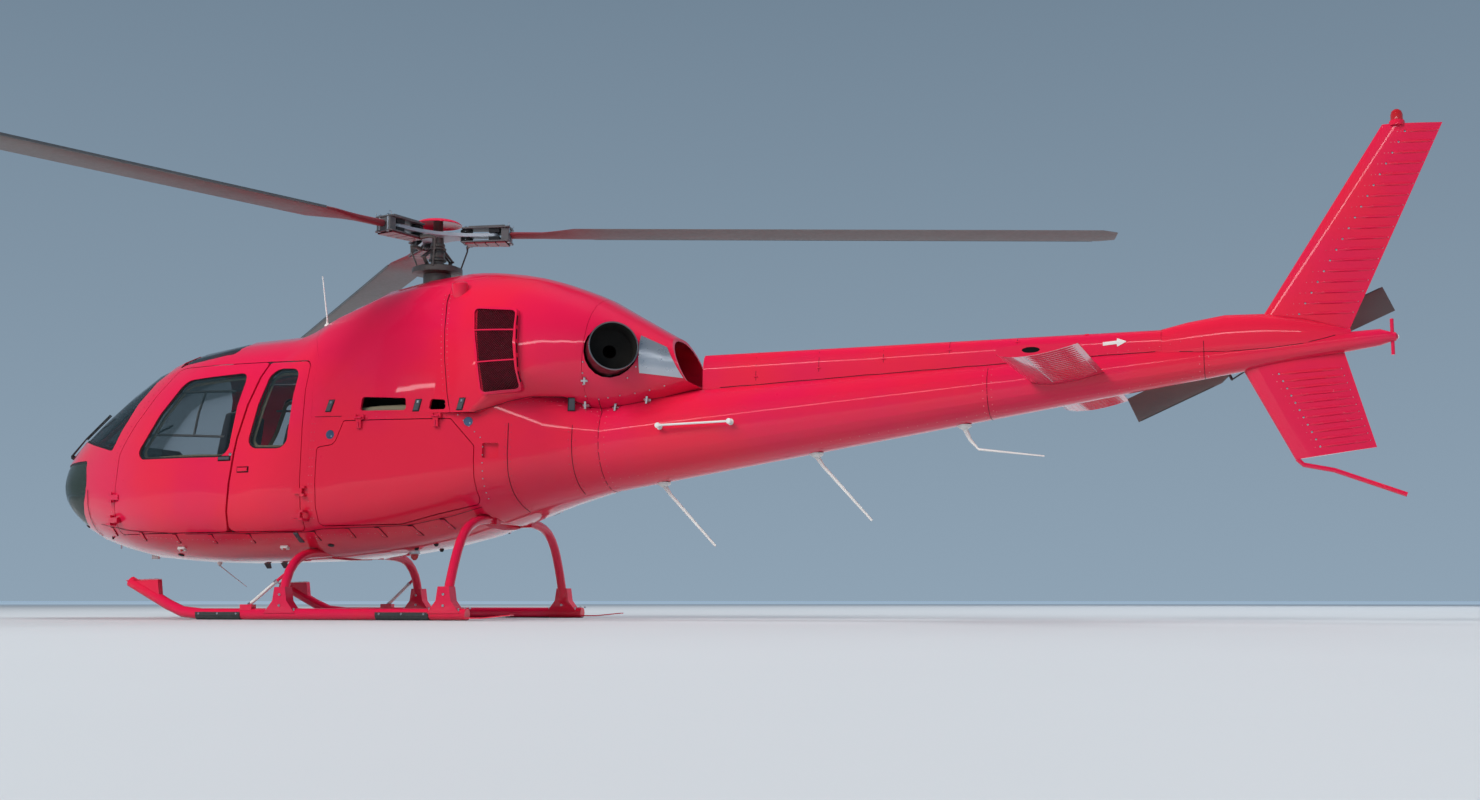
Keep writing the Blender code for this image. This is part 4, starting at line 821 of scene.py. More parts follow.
seat_stands, straps, buckles = Form(), Form(), Form()
for name, x_shift, y, half_width, pads in SEATS:
    width = 2 * half_width / pads
    base = cushion(f"{name}_cushion", CUSHION, x_shift, y - half_width + PAD_GAP,
                   y + half_width - PAD_GAP, 0.10)
    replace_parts(base, name)
    for k in range(pads):
        low = y - half_width + width * k + PAD_GAP
        cushion(f"{name}_back_{k + 1}", BACKREST, x_shift, low, low + width - 2 * PAD_GAP, 0.12)
        seat_y = y - half_width + width * (k + 0.5)
        for strap_y in (seat_y - 0.10, seat_y + 0.10):
            ribbon = []
            for i, (x, z) in enumerate(STRAP):
                drawn_in = (seat_y - strap_y) * max(0, i - 2) * 0.35
                ribbon.append((Vector((x + x_shift, strap_y + drawn_in, FLOOR + z)),
                               ON_BACK if i < 3 else ON_CUSHION))
            straps.strip(ribbon, 0.045, 0.004)
        buckles.block((1.945 + x_shift, seat_y, FLOOR + 0.444), (0.06, 0.055, 0.014))
    for foot in STAND_FEET:
        for foot_y in (y - half_width * 0.66, y + half_width * 0.66):
            seat_stands.bar([(foot + x_shift, foot_y, FLOOR + rise) for rise in (0.0, 0.33)], 0.016)
    for foot_y in (y - half_width * 0.66, y + half_width * 0.66):
        seat_stands.bar([(foot + x_shift, foot_y, FLOOR + 0.012) for foot in STAND_FEET], 0.012)
        seat_stands.block((1.88 + x_shift, foot_y, FLOOR + 0.318), (0.44, 0.03, 0.014))
strap_grey = mottled("harness_webbing", (300.0,), (0.05, 0.05, 0.055), (0.09, 0.09, 0.10),
                     0.7, 0.2, 90.0, Specular_IOR_Level=0.3)
grey_metal = mottled("grey_painted_metal", (10.0,), (0.12, 0.12, 0.125), (0.18, 0.18, 0.185),
                     0.4, 0.25, 60.0, Metallic=0.3)
seat_stands.piece("seat_stands", grey_metal, slot="dark_metal")
straps.piece("harness_straps", strap_grey, slot="seat_cloth")
buckles.piece("harness_buckles", bright_steel, slot="bare_metal", bevel=0.003)

SCREENS = ((-0.30, 0.19), (-0.05, 0.17), (0.12, 0.11))
PANEL_FACE = (1.02, 1.20)
displays, bezels, knobs = Form(), Form(), Form()
face_out, face_up = Vector((1, 0, 0.09)).normalized(), Vector((-0.09, 0, 1))
for y, width in SCREENS:
    centre = Vector((PANEL_FACE[0], y, PANEL_FACE[1]))
    bezels.block(centre, (width + 0.02, 0.012, 0.21), Y, face_up)
    displays.block(centre + face_out * 0.006, (width - 0.015, 0.006, 0.165), Y, face_up)
    for k in range(5):
        knob = centre + Vector((0.004, (k - 2) * width / 5, -0.094))
        knobs.turned([(0.006, 0.0), (0.006, 0.010), (0.004, 0.012)], knob, face_out, 10)
for row in range(3):
    for column in range(4):
        place = Vector((1.08 + row * 0.09, -0.075 + column * 0.05, 1.008 - row * 0.018))
        knobs.turned([(0.012, -0.002), (0.011, 0.014), (0.008, 0.016)], place, (-0.15, 0, 1), 12)
bezels.piece("display_bezels", black_plastic, slot="matt_black", bevel=0.003)
displays.piece("displays", screen_glass, slot="matt_black")
knobs.piece("console_knobs", grey_metal, slot="dark_metal")

# The stick, its grip and the lever beside each seat, as (course, offset abeam, radius)
CONTROLS = (
    (((1.10, FLOOR + 0.001), (1.12, 0.78), (1.16, 0.95), (1.15, 1.12)), 0.0, 0.011),
    (((1.15, 1.02), (1.145, 1.15)), 0.0, 0.018),
    (((1.62, 0.69), (1.36, 0.80), (1.24, 0.86)), 0.255, 0.013),
)
sticks = Form()
for seat_y in (-0.42, 0.42):
    for course, abeam, radius in CONTROLS:
        sticks.bar([(x, seat_y + abeam, z) for x, z in course], radius, 10)
    for offset in (-0.08, 0.08):
        pedal_y = seat_y + offset
        sticks.bar([(0.86, pedal_y, FLOOR + 0.001), (0.84, pedal_y, 0.80)], 0.008, 8)
        sticks.block((0.835, pedal_y, 0.82), (0.012, 0.075, 0.05))
sticks.piece("sticks_and_pedals", black_plastic, slot="matt_black")

# Frame bars inside each front door window, as (station, height) of both ends
WINDOW_BARS = (((1.437, 1.440), (2.13, 1.395)), ((1.54, 1.790), (2.14, 1.770)),
               ((1.837, 1.418), (1.852, 1.778)))
BAR_INSET = 0.038
for word, side in SIDES:
    bars = Form()
    for (x0, z0), (x1, z1) in WINDOW_BARS:
        course = [on_side(x0 + (x1 - x0) * k / 6, z0 + (z1 - z0) * k / 6, side, -BAR_INSET)
                  for k in range(7)]
        bars.strip(course, 0.020, 0.008)
    bars.piece(f"door_window_bars_{word}", grey_metal, f"front_door_{word}", "dark_metal")

# ---- Nose and belly fittings ----
# Wiper, air data probe, blade aerials, lamp fittings, drains, belly fins and a red belly light:
# small metal and glass-fibre fittings screwed or riveted through the skin.
white_paint = mottled("white_enamel", (8.0,), (0.78, 0.77, 0.74), (0.70, 0.69, 0.66),
                      0.25, 0.15, 40.0, Coat_Weight=0.6)
dark_steel = mottled("dark_steel", (16.0,), (0.07, 0.07, 0.075), (0.12, 0.12, 0.125),
                     0.35, 0.25, 70.0, Metallic=0.8)
red_glass = mottled("red_lens", (6.0,), (0.42, 0.004, 0.008), (0.55, 0.01, 0.015),
                    0.08, 0.06, 20.0, Coat_Weight=1.0, Coat_Roughness=0.03)

# The wiper's arm on the windscreen, as (station, abeam, height)
WIPER = ((0.175, 0.17, 1.32), (0.34, 0.30, 1.52), (0.62, 0.44, 1.74))
PROBE_X, WHITE_BLOCK_X = 0.54, 0.89
BELLY_FINS = ((1.86, 0.16), (2.02, 0.16), (2.76, 0.16))
BELLY_FIN = ((-0.036, 0.010), (0.030, 0.010), (0.046, -0.036), (0.040, -0.044), (0.004, -0.044))
BELLY_WHIP = (1.406, 0.157)
LAMP_FITTINGS = ((1.655, 0.672), (2.598, 0.691))
DRAINS = ((1.539, 0.529), (2.969, 0.643))
BELLY_OVAL = (2.789, 0.449)
PAIRED_DRAINS = tuple((x, y) for x in (3.45, 3.62) for y in (-0.20, 0.20))
BELLY_LIGHT_X = 3.32


def below(x, y):
    """The belly skin's point under a station."""
    return land((x, y, -0.5), (0, 0, 1))


def on_belly(x, y):
    point = below(x, y)
    return point, skin_outward(point)


wipers = Form()
for _, side in SIDES:
    line = []
    for x, y, z in WIPER:
        outside = Vector((x - 0.6, side * (y + 0.35), z + 0.7))
        point = land(outside, (Vector((x, side * y, z)) - outside).normalized())
        line.append((point, skin_outward(point)))
    arm = [point + outward * 0.028 for point, outward in line]
    wipers.bar(arm[:2], [0.009, 0.006], 8)
    wipers.bar(arm[1:], [0.006, 0.005], 8)
    wipers.turned([(0.02, -0.004), (0.018, 0.024), (0.010, 0.030)], line[0][0], line[0][1], 14)
    wipers.strip([(point + outward * 0.012, outward) for point, outward in line[1:]], 0.014, 0.010)
wipers.piece("wipers", black_plastic, slot="matt_black")

fittings, white_fittings, black_fittings, lamp_lenses, fins = (Form() for _ in range(5))
foot = below(PROBE_X, 0.0)
fittings.bar([foot + Z * 0.006, foot - Z * 0.030], [0.013, 0.011], 12)
fittings.bar([foot - Z * 0.028, foot - Z * 0.062], [0.007, 0.006], 10)
foot = below(WHITE_BLOCK_X, 0.0)
white_fittings.block(foot - Z * 0.022, (0.060, 0.030, 0.052), X, Z)
for x, y in BELLY_FINS:
    foot = below(x, y)
    fins.slab([foot + Vector((dx, 0, dz)) - Y * 0.003 for dx, dz in BELLY_FIN], Y * 0.006)
foot = below(*BELLY_WHIP)
white_fittings.turned([(0.026, -0.004), (0.022, 0.016), (0.012, 0.032), (0.005, 0.040)],
                      foot, -Z, 16)
course = (foot - Z * 0.034, foot + Vector((0.13, 0, -0.12)), foot + Vector((0.27, 0, -0.21)))
white_fittings.bar(course, [0.0045, 0.0035, 0.0025], 8)
for _, side in SIDES:
    for x, y in LAMP_FITTINGS:
        point, outward = on_belly(x, side * y)
        white_fittings.block(point + outward * 0.006, (0.062, 0.036, 0.020), X, outward)
        lamp_lenses.turned([(0.013, 0.0), (0.013, 0.006), (0.008, 0.012)],
                           point + outward * 0.014, outward, 14)
    for x, y in DRAINS:
        point, outward = on_belly(x, side * y)
        black_fittings.turned([(0.024, -0.003), (0.024, 0.003), (0.016, 0.004)], point, outward, 20)
    point, outward = on_belly(BELLY_OVAL[0], side * BELLY_OVAL[1])
    fittings.turned([(0.030, -0.003), (0.029, 0.002), (0.020, 0.003)], point, outward, 22)
for x, y in PAIRED_DRAINS:
    black_fittings.turned([(0.018, -0.006), (0.018, 0.004), (0.010, 0.018)], below(x, y), -Z, 14)
foot = below(BELLY_LIGHT_X, 0.0)
lamp_lenses.turned([(0.034, -0.01), (0.034, 0.015), (0.028, 0.045), (0.012, 0.062)], foot, -Z, 20)
fittings.turned([(0.042, -0.012), (0.042, 0.010), (0.036, 0.014)], foot, -Z, 24)
fittings.piece("nose_and_belly_fittings", bright_steel, slot="bare_metal")
white_fittings.piece("white_aerials", white_paint, slot="bare_metal")
black_fittings.piece("drains", black_plastic, slot="matt_black")
lamp_lenses.piece("belly_lights", red_glass, slot="red_lens")
fins.piece("belly_fins", dark_steel, slot="dark_metal")

ROOF_WHIP_FOOT, ROOF_WHIP_TIP = (2.69, -0.35), Vector((2.635, -0.35, 2.70))
roof = land((*ROOF_WHIP_FOOT, 3.2), (0, 0, -1))
whip = Form().bar([roof - Z * 0.01, roof + Z * 0.05, ROOF_WHIP_TIP], [0.008, 0.006, 0.004], 10)
whip.turned([(0.022, -0.006), (0.020, 0.006), (0.008, 0.020)], roof, Z, 18)
whip.piece("roof_whip_aerial", white_paint, slot="bare_metal")

# ---- Cowl fittings ----
# Cooling vents with a duct behind, side intakes under woven wire screens in ribbed frames, short
# exhaust stacks of heat-stained steel with a bright heat shield behind each, the bolts of the rear
# fairing, and the oil filler's cap on the port side.
VENTS = (((3.325, 1.545), (3.33, 1.65), (3.68, 1.632), (3.69, 1.54)),
         ((3.865, 1.54), (3.875, 1.622), (3.995, 1.61), (4.0, 1.54)))
# The duct behind the vents, as (station, radius)
DUCT = ((3.28, 0.030), (3.45, 0.042), (3.62, 0.045), (3.80, 0.034))
# Behind each vent a near-black plate stands for the shade inside the cowl: painted shade.
vent_backs, ducts = Form(), Form()
for _, side in SIDES:
    for outline in VENTS:
        corners = [on_side(x, z, side) for x, z in outline]
        middle = sum((point for point, _ in corners), Vector()) / 4
        back = [middle + (point - middle) * 1.12 - Y * side * 0.16 for point, _ in corners]
        vent_backs.slab(back, Y * side * -0.004)
    ducts.bar([on_side(x, 1.545, side)[0] - Y * side * 0.085 for x, _ in DUCT],
              [radius for _, radius in DUCT], 14)
# A near-black for openings: painted shade behind the vents, in the intake throats and slots, in the
# stabiliser's tip slots and between the sleeve cells.
opening_shade = mottled("painted_opening_shade", (12.0,), (0.004, 0.004, 0.004), (0.009, 0.009, 0.009),
                     0.8, 0.1, 30.0, Specular_IOR_Level=0.15)
vent_backs.piece("vent_backs", opening_shade, slot="matt_black")
ducts.piece("vent_ducts", khaki, slot="floor_grey")

# The screen's corners, as (station, height): front low, front high, aft high, aft low
SCREEN = ((4.273, 1.632), (4.126, 2.328), (4.504, 2.292), (4.565, 1.668))
SCREEN_SPAN_X, SCREEN_SPAN_Z = (4.12, 4.57), (1.63, 2.33)
SCREEN_RISE = (0.010, 0.052)
SCREEN_CORNER = 0.045
SCREEN_PITCH = 0.0125
WIRE_RADIUS, WIRE_STEP = 0.0016, 0.0075
FRAME_LAND = 0.020
RIB_SHARES = (0.36, 0.72)
CHEEK_SLOTS = 5
front_low, front_high, aft_high, aft_low = (Vector(corner) for corner in SCREEN)
screen_paint = painted("screen_paint", (0.20, 0.006, 0.022), (0.26, 0.012, 0.03), 0.5)


def rise(x, z):
    """How far the screen stands out from the cowl: least at its front edge and most aft."""
    (x0, z0), (x1, z1), (x2, _), (x3, _) = SCREEN
    up = (z - z0) / (z1 - z0)
    front, aft = x0 + (x1 - x0) * up, x3 + (x2 - x3) * up
    share = min(1.0, max(0.0, (x - front) / (aft - front)))
    return SCREEN_RISE[0] + (SCREEN_RISE[1] - SCREEN_RISE[0]) * share


def sheet_loop(row, height):
    """A section of a thin sheet that lies on the skin, from a row of (point, outward)."""
    top = [point + outward * height for point, outward in row]
    return top + [point - outward * 0.001 for point, outward in row[::-1]]


def inside(outline, x, z):
    """True where a point lies in a convex outline that runs clockwise as seen from port."""
    return all(
        (x1 - x0) * (z - z0) - (z1 - z0) * (x - x0) <= 0.0
        for (x0, z0), (x1, z1) in zip(outline, outline[1:] + outline[:1])
    )


def rounded(outline, radius, steps=6):
    """The outline with its corners rounded, as (x, z) points."""
    corners = [Vector(corner) for corner in outline]
    made = []
    around = zip(corners[-1:] + corners[:-1], corners, corners[1:] + corners[:1])
    for before, corner, after in around:
        start = corner + (before - corner).normalized() * radius
        end = corner + (after - corner).normalized() * radius
        for k in range(steps + 1):
            t = k / steps
            made.append(start * (1 - t) ** 2 + corner * 2 * t * (1 - t) + end * t * t)
        made += [end.lerp(after, k / 8) for k in (1, 2, 3, 4, 5, 6)]
    return made


centre = sum((Vector(corner) for corner in SCREEN), Vector((0, 0))) / 4
diagonal = SCREEN_PITCH * math.sqrt(2)
reach = SCREEN_SPAN_X[1] - SCREEN_SPAN_X[0] + SCREEN_SPAN_Z[1] - SCREEN_SPAN_Z[0]
for word, side in SIDES:
    abeam = Y * side

    def screen_at(x, z, below=0.0):
        return on_side(x, z, side)[0] + abeam * (rise(x, z) - below)

    wall = []
    for spot in rounded(SCREEN, SCREEN_CORNER):
        inner = spot + (centre - spot).normalized() * FRAME_LAND
        foot, top, lip = on_side(*spot, side)[0], screen_at(*spot), screen_at(*inner)
        wall.append([foot - abeam * 0.006, top, lip, lip - abeam * 0.006,
                     lip - abeam * (rise(*inner) + 0.004)])
    intake_frame = Form().skin(wall, ring=True)
    for share in RIB_SHARES:
        start, end = front_low.lerp(front_high, share), aft_low.lerp(aft_high, share)
        rib = [start.lerp(end, 0.03 + 0.94 * k / 8) for k in range(9)]
        intake_frame.strip([(screen_at(*spot, 0.0005), abeam) for spot in rib], 0.012, 0.003)
    wires = Form()
    for slope in (1, -1):
        for k in range(round(reach / diagonal)):
            run = []
            for step in range(60):
                x = SCREEN_SPAN_X[0] + WIRE_STEP * step
                across = x - SCREEN_SPAN_X[0] if slope == 1 else SCREEN_SPAN_X[1] - x
                z = SCREEN_SPAN_Z[0] + k * diagonal - across
                if inside(SCREEN, x, z):
                    run.append((x, z))
            if len(run) < 5:
                continue
            course = [run[1]] + run[4:-3:6] + [run[-2]]
            wires.bar([screen_at(x, z, 0.004 + 0.0012 * slope) for x, z in course], WIRE_RADIUS, 3)
    # The backing under each screen is a near-black sheet on the cowl skin: painted shade of the
    # intake's throat.
    loops = []
    for i in range(1, 12):
        low, high = front_low.lerp(aft_low, i / 12), front_high.lerp(aft_high, i / 12)
        row = [on_side(*low.lerp(high, 0.02 + 0.96 * j / 16), side) for j in range(17)]
        loops.append(sheet_loop(row, 0.0025))
    # The slots in the intake's aft cheek are near-black strips on the frame: painted shade of
    # openings.
    slots = Form()
    for k in range(CHEEK_SLOTS):
        cheek = []
        for share in (0.10, 0.16, 0.22):
            spot = aft_low.lerp(aft_high, share + 0.17 * k)
            point = on_side(*spot, side)[0] + abeam * SCREEN_RISE[1] * 0.55 + X * 0.0004
            cheek.append((point, X))
        slots.strip(cheek, 0.020, 0.0016)
    backing = Form().skin(loops)
    backing.piece(f"intake_backing_{word}", opening_shade, slot="matt_black")
    slots.piece(f"intake_slots_{word}", opening_shade, slot="matt_black", sharp=60.0)
    wires.piece(f"intake_screen_{word}", screen_paint, slot="red_paint", sharp=180.0)
    framed = intake_frame.piece(f"intake_frame_{word}", red_paint, slot="red_paint")
    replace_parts(framed, f"side_intake_{word}")

STACK_END = Vector((5.235, 0.56, 1.985))
STACK_BEND = Vector((5.054, 0.287, 1.939))
STACK_RADIUS = 0.185
# The liner's section, as (depth, radius)
LINER = ((0.006, 0.1755), (0.006, 0.172), (0.14, 0.166), (0.16, 0.05), (0.165, 0.05),
         (0.150, 0.170))
stack_steel = Finish("heat_stained_steel", Metallic=0.85, Coat_Weight=0.25, Coat_Roughness=0.1)
stack_steel.put(Base_Color=stack_steel.blend(
    stack_steel.noise(5.0, 6.0).ramp(0.3, 0.7), (0.10, 0.045, 0.045), (0.055, 0.045, 0.05)))
stack_steel.put(Roughness=stack_steel.noise(22.0, 5.0) * 0.3 + 0.2)
rim_steel = mottled("stack_lip", (20.0,), (0.34, 0.33, 0.33), (0.22, 0.215, 0.22),
                    0.25, 0.2, 60.0, Metallic=1.0)
soot = mottled("soot", (9.0, 6.0), (0.006, 0.0055, 0.005), (0.022, 0.020, 0.018),
               0.7, 0.2, 30.0, Specular_IOR_Level=0.2)
stack_lips, liners = Form(), Form()
for word, side in SIDES:
    dress(stack_steel, f"exhaust_pipe_{word}")
    soften(f"exhaust_pipe_{word}", limit=28.0)
    end, bend = (Vector((p.x, side * p.y, p.z)) for p in (STACK_END, STACK_BEND))
    axis = (end - bend).normalized()
    across = axis.orthogonal().normalized()
    spoke = axis.cross(across)
    lip = circle(end + axis * 0.001, across, spoke, STACK_RADIUS - 0.004, 48)
    stack_lips.bar(lip, 0.0055, 8, ring=True)
    liners.skin([circle(end - axis * depth, across, spoke, radius, 40) for depth, radius in LINER],
                ring=True)
stack_lips.piece("stack_lips", rim_steel, slot="bare_metal")
liners.piece("stack_liners", soot, slot="matt_black")

SHIELD = ((5.368, 2.085), (5.555, 1.995), (5.672, 1.765), (5.372, 1.800))
shield_metal = mottled("heat_shield", (3.0, 4.0), (0.42, 0.46, 0.52), (0.56, 0.58, 0.62),
                       0.22, 0.15, 18.0, Metallic=0.75)
shields = Form()
for _, side in SIDES:
    corners = [Vector((x, 0, z)) for x, z in SHIELD]
    rows = []
    for i in range(7):
        low, high = corners[3].lerp(corners[2], i / 6), corners[0].lerp(corners[1], i / 6)
        spots = [low.lerp(high, j / 6) for j in range(7)]
        rows.append([on_side(spot.x, spot.z, side) for spot in spots])
    shields.skin([sheet_loop(row, 0.0022) for row in rows])
    middle = sum((row[3][0] for row in rows), Vector()) / 7
    for row in (rows[0], rows[-1]):
        for point, outward in (row[0], row[-1]):
            place = point + (middle - point) * 0.07 + outward * 0.002
            bright_bolts.dome(place, outward, 0.005, 0.002)
shields.piece("heat_shields", shield_metal, slot="bare_metal")

FAIRING_BOLTS = ((4.985, 1.88), (4.975, 1.80), (4.965, 1.72), (4.955, 1.64), (5.04, 1.62),
                 (5.11, 1.63), (5.20, 1.645), (5.31, 1.66), (5.42, 1.68), (5.53, 1.71),
                 (5.285, 1.765), (5.352, 1.845))
for _, side in SIDES:
    for x, z in FAIRING_BOLTS:
        bright_bolts.dome(*on_side(x, z, side), 0.0065, 0.0022)

CAP_PLACE = (3.93, -0.47)
CAP = ((0.062, -0.05), (0.062, 0.045), (0.056, 0.056), (0.035, 0.064), (0.012, 0.067))
seat_point = land((*CAP_PLACE, 3.3), (0, 0, -1))
cap = Form().turned(CAP, seat_point, Vector((0, -0.25, 1)), 28)
cap.piece("oil_filler_cap", red_paint, slot="red_paint")
dress(grey_metal, "main_gearbox", "engine_left", "engine_right")

# ---- Tail boom fittings ----
# Three white whip aerials under the boom, a towel-rail aerial on its port side, the bands and clips
# that hold the drive shaft cover, and a plain white flow arrow painted on it.
# Each whip's foot and the points along it, as (station, height)
WHIPS = (
    ((5.42, 0.985), (5.47, 0.93), (5.83, 0.54)),
    ((6.61, 1.165), (6.66, 1.11), (7.02, 0.71)),
    ((7.70, 1.335), (7.74, 1.27), (7.80, 1.20), (8.26, 1.14)),
)
RAIL = ((5.51, 1.405), (6.051, 1.425))
# The arrow's sections, as (station, lowest, highest)
ARROW = ((8.690, 1.883, 1.907), (8.784, 1.891, 1.915), (8.786, 1.872, 1.932),
         (8.848, 1.904, 1.908))

WHIP_FOOT = ((0.052, -0.006), (0.052, 0.004), (0.046, 0.014), (0.026, 0.026), (0.013, 0.034))
WHIP_RADII = (0.020, 0.013, 0.009, 0.0055)
RAIL_STAND_OFF = 0.050

whips, rail = Form(), Form()
for base, *rest in WHIPS:
    foot = land((base[0], 0.0, 0.2), (0, 0, 1))
    line = [Vector((x, 0.0, z)) for x, z in rest]
    whips.turned(WHIP_FOOT, foot, -Z, 26)
    whips.bar([foot - Z * 0.015, *line], WHIP_RADII[:1 + len(line)], 10)
ends = [on_side(x, z, -1) for x, z in RAIL]
low, high = (point + outward * RAIL_STAND_OFF for point, outward in ends)
rail.bar([ends[0][0], low], 0.012, 12)
rail.bar([ends[1][0], high], 0.012, 12)
rail.bar([low - X * 0.012, *[low.lerp(high, k / 5) for k in range(6)], high + X * 0.012],
         0.0085, 12)
for point, outward in ends:
    rail.turned([(0.024, -0.002), (0.022, 0.004), (0.014, 0.008)], point, outward, 18)
    rail.turned([(0.017, 0.038), (0.021, 0.046), (0.021, 0.054), (0.014, 0.060)],
                point, outward, 18)
whips.piece("boom_whip_aerials", white_paint, slot="bare_metal")
rail.piece("towel_rail_aerial", white_paint, slot="bare_metal")

courses = []
for x, low, high in ARROW:
    course = [land((x, -0.6, low + (high - low) * k / 6), (0, 1, 0)) for k in range(7)]
    courses.append([point - Y * 0.0014 for point in course]
                   + [point + Y * 0.0006 for point in course[::-1]])
arrow = Form().skin(courses)
arrow.piece("flow_arrow", white_paint, slot="bare_metal")

soften("drive_shaft_cover", limit=40.0)
soften("tail_gearbox_fairing", limit=40.0)
dress(red_paint, "drive_shaft_cover", "tail_gearbox_fairing")
COVER_BANDS = (6.18, 6.66, 7.14, 7.62, 8.10, 8.58)
BAND_HALF_ANGLE = 62
bands, cover_clips = Form(), Form()
for station in COVER_BANDS:
    line = []
    for k in range(13):
        angle = math.radians(BAND_HALF_ANGLE * (k / 6 - 1))
        spoke = Vector((0, math.sin(angle), math.cos(angle)))
        start = Vector((station, 0, boom_line(station)[1] + 0.25)) + spoke * 0.6
        hit = outer_skin.ray_cast(start, -spoke, 1.2)[0]
        if hit:
            line.append((hit, spoke))
    bands.strip(line, 0.004, 0.0008)
    for point, outward in (line[1], line[-2]):
        cover_clips.block(point + outward * 0.002, (0.030, 0.012, 0.006), X, outward)
bands.piece("cover_bands", joint_black, slot="red_paint", sharp=60.0)
cover_clips.piece("cover_clips", red_paint, slot="red_paint", bevel=0.002)

# ---- Stabiliser, fins and tail lamps ----
# Riveted sheet surfaces stiffened by pressed beads that run with the chord, a slot in each tip of
# the stabiliser, a bent tube guard under the lower fin, a red beacon on top and a lamp at the tail.
TAIL_NODES = ["stabiliser", "upper_fin", "lower_fin", "tail_lamp"]
for name in TAIL_NODES:
    soften(name, limit=32.0)
dress(red_paint, *TAIL_NODES)
tail_tree = tree_of(["stabiliser", "upper_fin", "lower_fin"])
beads, tail_rivets, tip_holes = Form(), Form(), Form()
BEAD_SWELL = (0.15, 1, 1, 1, 1, 1, 0.4)


def bead(start, end, towards, width=0.020, height=0.0060):
    """A pressed bead on a tail surface between two points outside it, found along towards."""
    starts = [Vector(start).lerp(Vector(end), k / 6) for k in range(7)]
    line = faced(tail_tree, starts, -towards, 2.0)
    if len(line) < 4:
        return
    loops = []
    for (point, outward), size in zip(line, BEAD_SWELL):
        across = outward.cross(line[-1][0] - line[0][0]).normalized() * width / 2 * (0.5 + size / 2)
        low, high = point - outward * 0.001, point + outward * height * size
        loops.append([low - across, high - across * 0.45, high + across * 0.45, low + across])
    beads.skin(loops)
    bright_bolts.dome(*line[0], 0.0075, 0.0030, 8)
    bright_bolts.dome(*line[-1], 0.0050, 0.0022)


def tail_rivet(outside, towards):
    for mark in faced(tail_tree, [outside], -towards):
        tail_rivets.dome(*mark, 0.0038, 0.0014)


STABILISER_BEADS, STABILISER_SPAN, STABILISER_Z = 17, (0.32, 1.50), 1.655
STABILISER_NOSE, STABILISER_CHORD = 8.19, 0.51
SPAR_SHARES = (0.22, 0.30)
FIN_SPAR_SHARES, FIN_BEAD_END = (0.30, 0.36), 0.955
near, far = STABILISER_SPAN
for towards in (Z, -Z):
    height = STABILISER_Z - towards.z * 0.5
    for mirror in (-1, 1):
        for k in range(STABILISER_BEADS):
            y = mirror * (near + (far - near) * k / (STABILISER_BEADS - 1))
            bead((8.37, y, height), (8.665, y, height), towards)
        for share in SPAR_SHARES:
            for k in range(26):
                y = mirror * (0.24 + 1.28 * k / 25)
                x = STABILISER_NOSE + STABILISER_CHORD * share
                tail_rivet(Vector((x, y, height)), towards)
# Each fin's root and tip, as (leading x, z, trailing x, z), with its beads and where they start
FIN_BEADS = (((9.587, 1.86, 10.26, 1.86), (10.55, 3.27, 10.925, 3.265), 20, 0.42),
             ((9.58, 1.66, 10.25, 1.70), (9.90, 1.11, 10.42, 1.17), 11, 0.36))
for (x0, z0, x1, z1), (x2, z2, x3, z3), count, start_share in FIN_BEADS:
    for side in (-1, 1):
        outside = Y * side * 0.5
        for k in range(count):
            share = (k + 0.6) / count
            leading = Vector((x0, 0, z0)).lerp(Vector((x2, 0, z2)), share) + outside
            trailing = Vector((x1, 0, z1)).lerp(Vector((x3, 0, z3)), share) + outside
            bead(leading.lerp(trailing, start_share), leading.lerp(trailing, FIN_BEAD_END),
                 -Y * side)
            for spar in FIN_SPAR_SHARES:
                tail_rivet(leading.lerp(trailing, spar), -Y * side)
# Each tip slot is a flat near-black patch on the skin: painted shade of the opening.
TIP_HOLE = (8.415, 1.66)
TIP_HOLE_LONG, TIP_HOLE_HIGH = 0.055, 0.018
x, z = TIP_HOLE
for mirror in (-1, 1):
    for middle, outward in faced(tail_tree, [Vector((x, mirror * 2.0, z))], Y * mirror):
        ring = circle(middle - outward * 0.001, X * TIP_HOLE_LONG, Z * TIP_HOLE_HIGH, 1.0, 20)
        tip_holes.slab(ring, outward * 0.0018)
tip_holes.piece("stabiliser_tip_holes", opening_shade, slot="matt_black")
beads.piece("tail_surface_beads", red_paint, slot="red_paint", sharp=50.0)
tail_rivets.piece("tail_rivets", rivet_highlight_paint, slot="red_paint", sharp=60.0)

BEACON_PLACE = Vector((10.645, 0, 3.29))
BEACON_LENS = ((0.040, 0.022), (0.0405, 0.034), (0.040, 0.070), (0.033, 0.092), (0.018, 0.106),
               (0.006, 0.1095))
BEACON_FOOT = ((0.051, -0.004), (0.051, 0.018), (0.046, 0.030), (0.041, 0.032))
beacon_lens = Form().turned(BEACON_LENS, BEACON_PLACE, Z, 32)
beacon_foot = Form().turned(BEACON_FOOT, BEACON_PLACE, Z, 32)
for k in range(4):
    spoke = Matrix.Rotation(math.tau * k / 4 + 0.4, 3, "Z") @ X
    beacon_foot.dome(BEACON_PLACE + spoke * 0.046 + Z * 0.026, Z, 0.003, 0.002)
beacon_foot.piece("beacon_foot", red_paint, slot="red_paint")
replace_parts(beacon_lens.piece("beacon_lens", red_glass, slot="red_lens"), "beacon")
TAIL_LAMP_PLACE = (10.586, 0, 1.866)
tip_lamp = Form().turned([(0.013, 0.0), (0.013, 0.006), (0.006, 0.012)], TAIL_LAMP_PLACE, X, 16)
tip_lamp.piece("tail_lamp_lens", white_paint, slot="bare_metal")

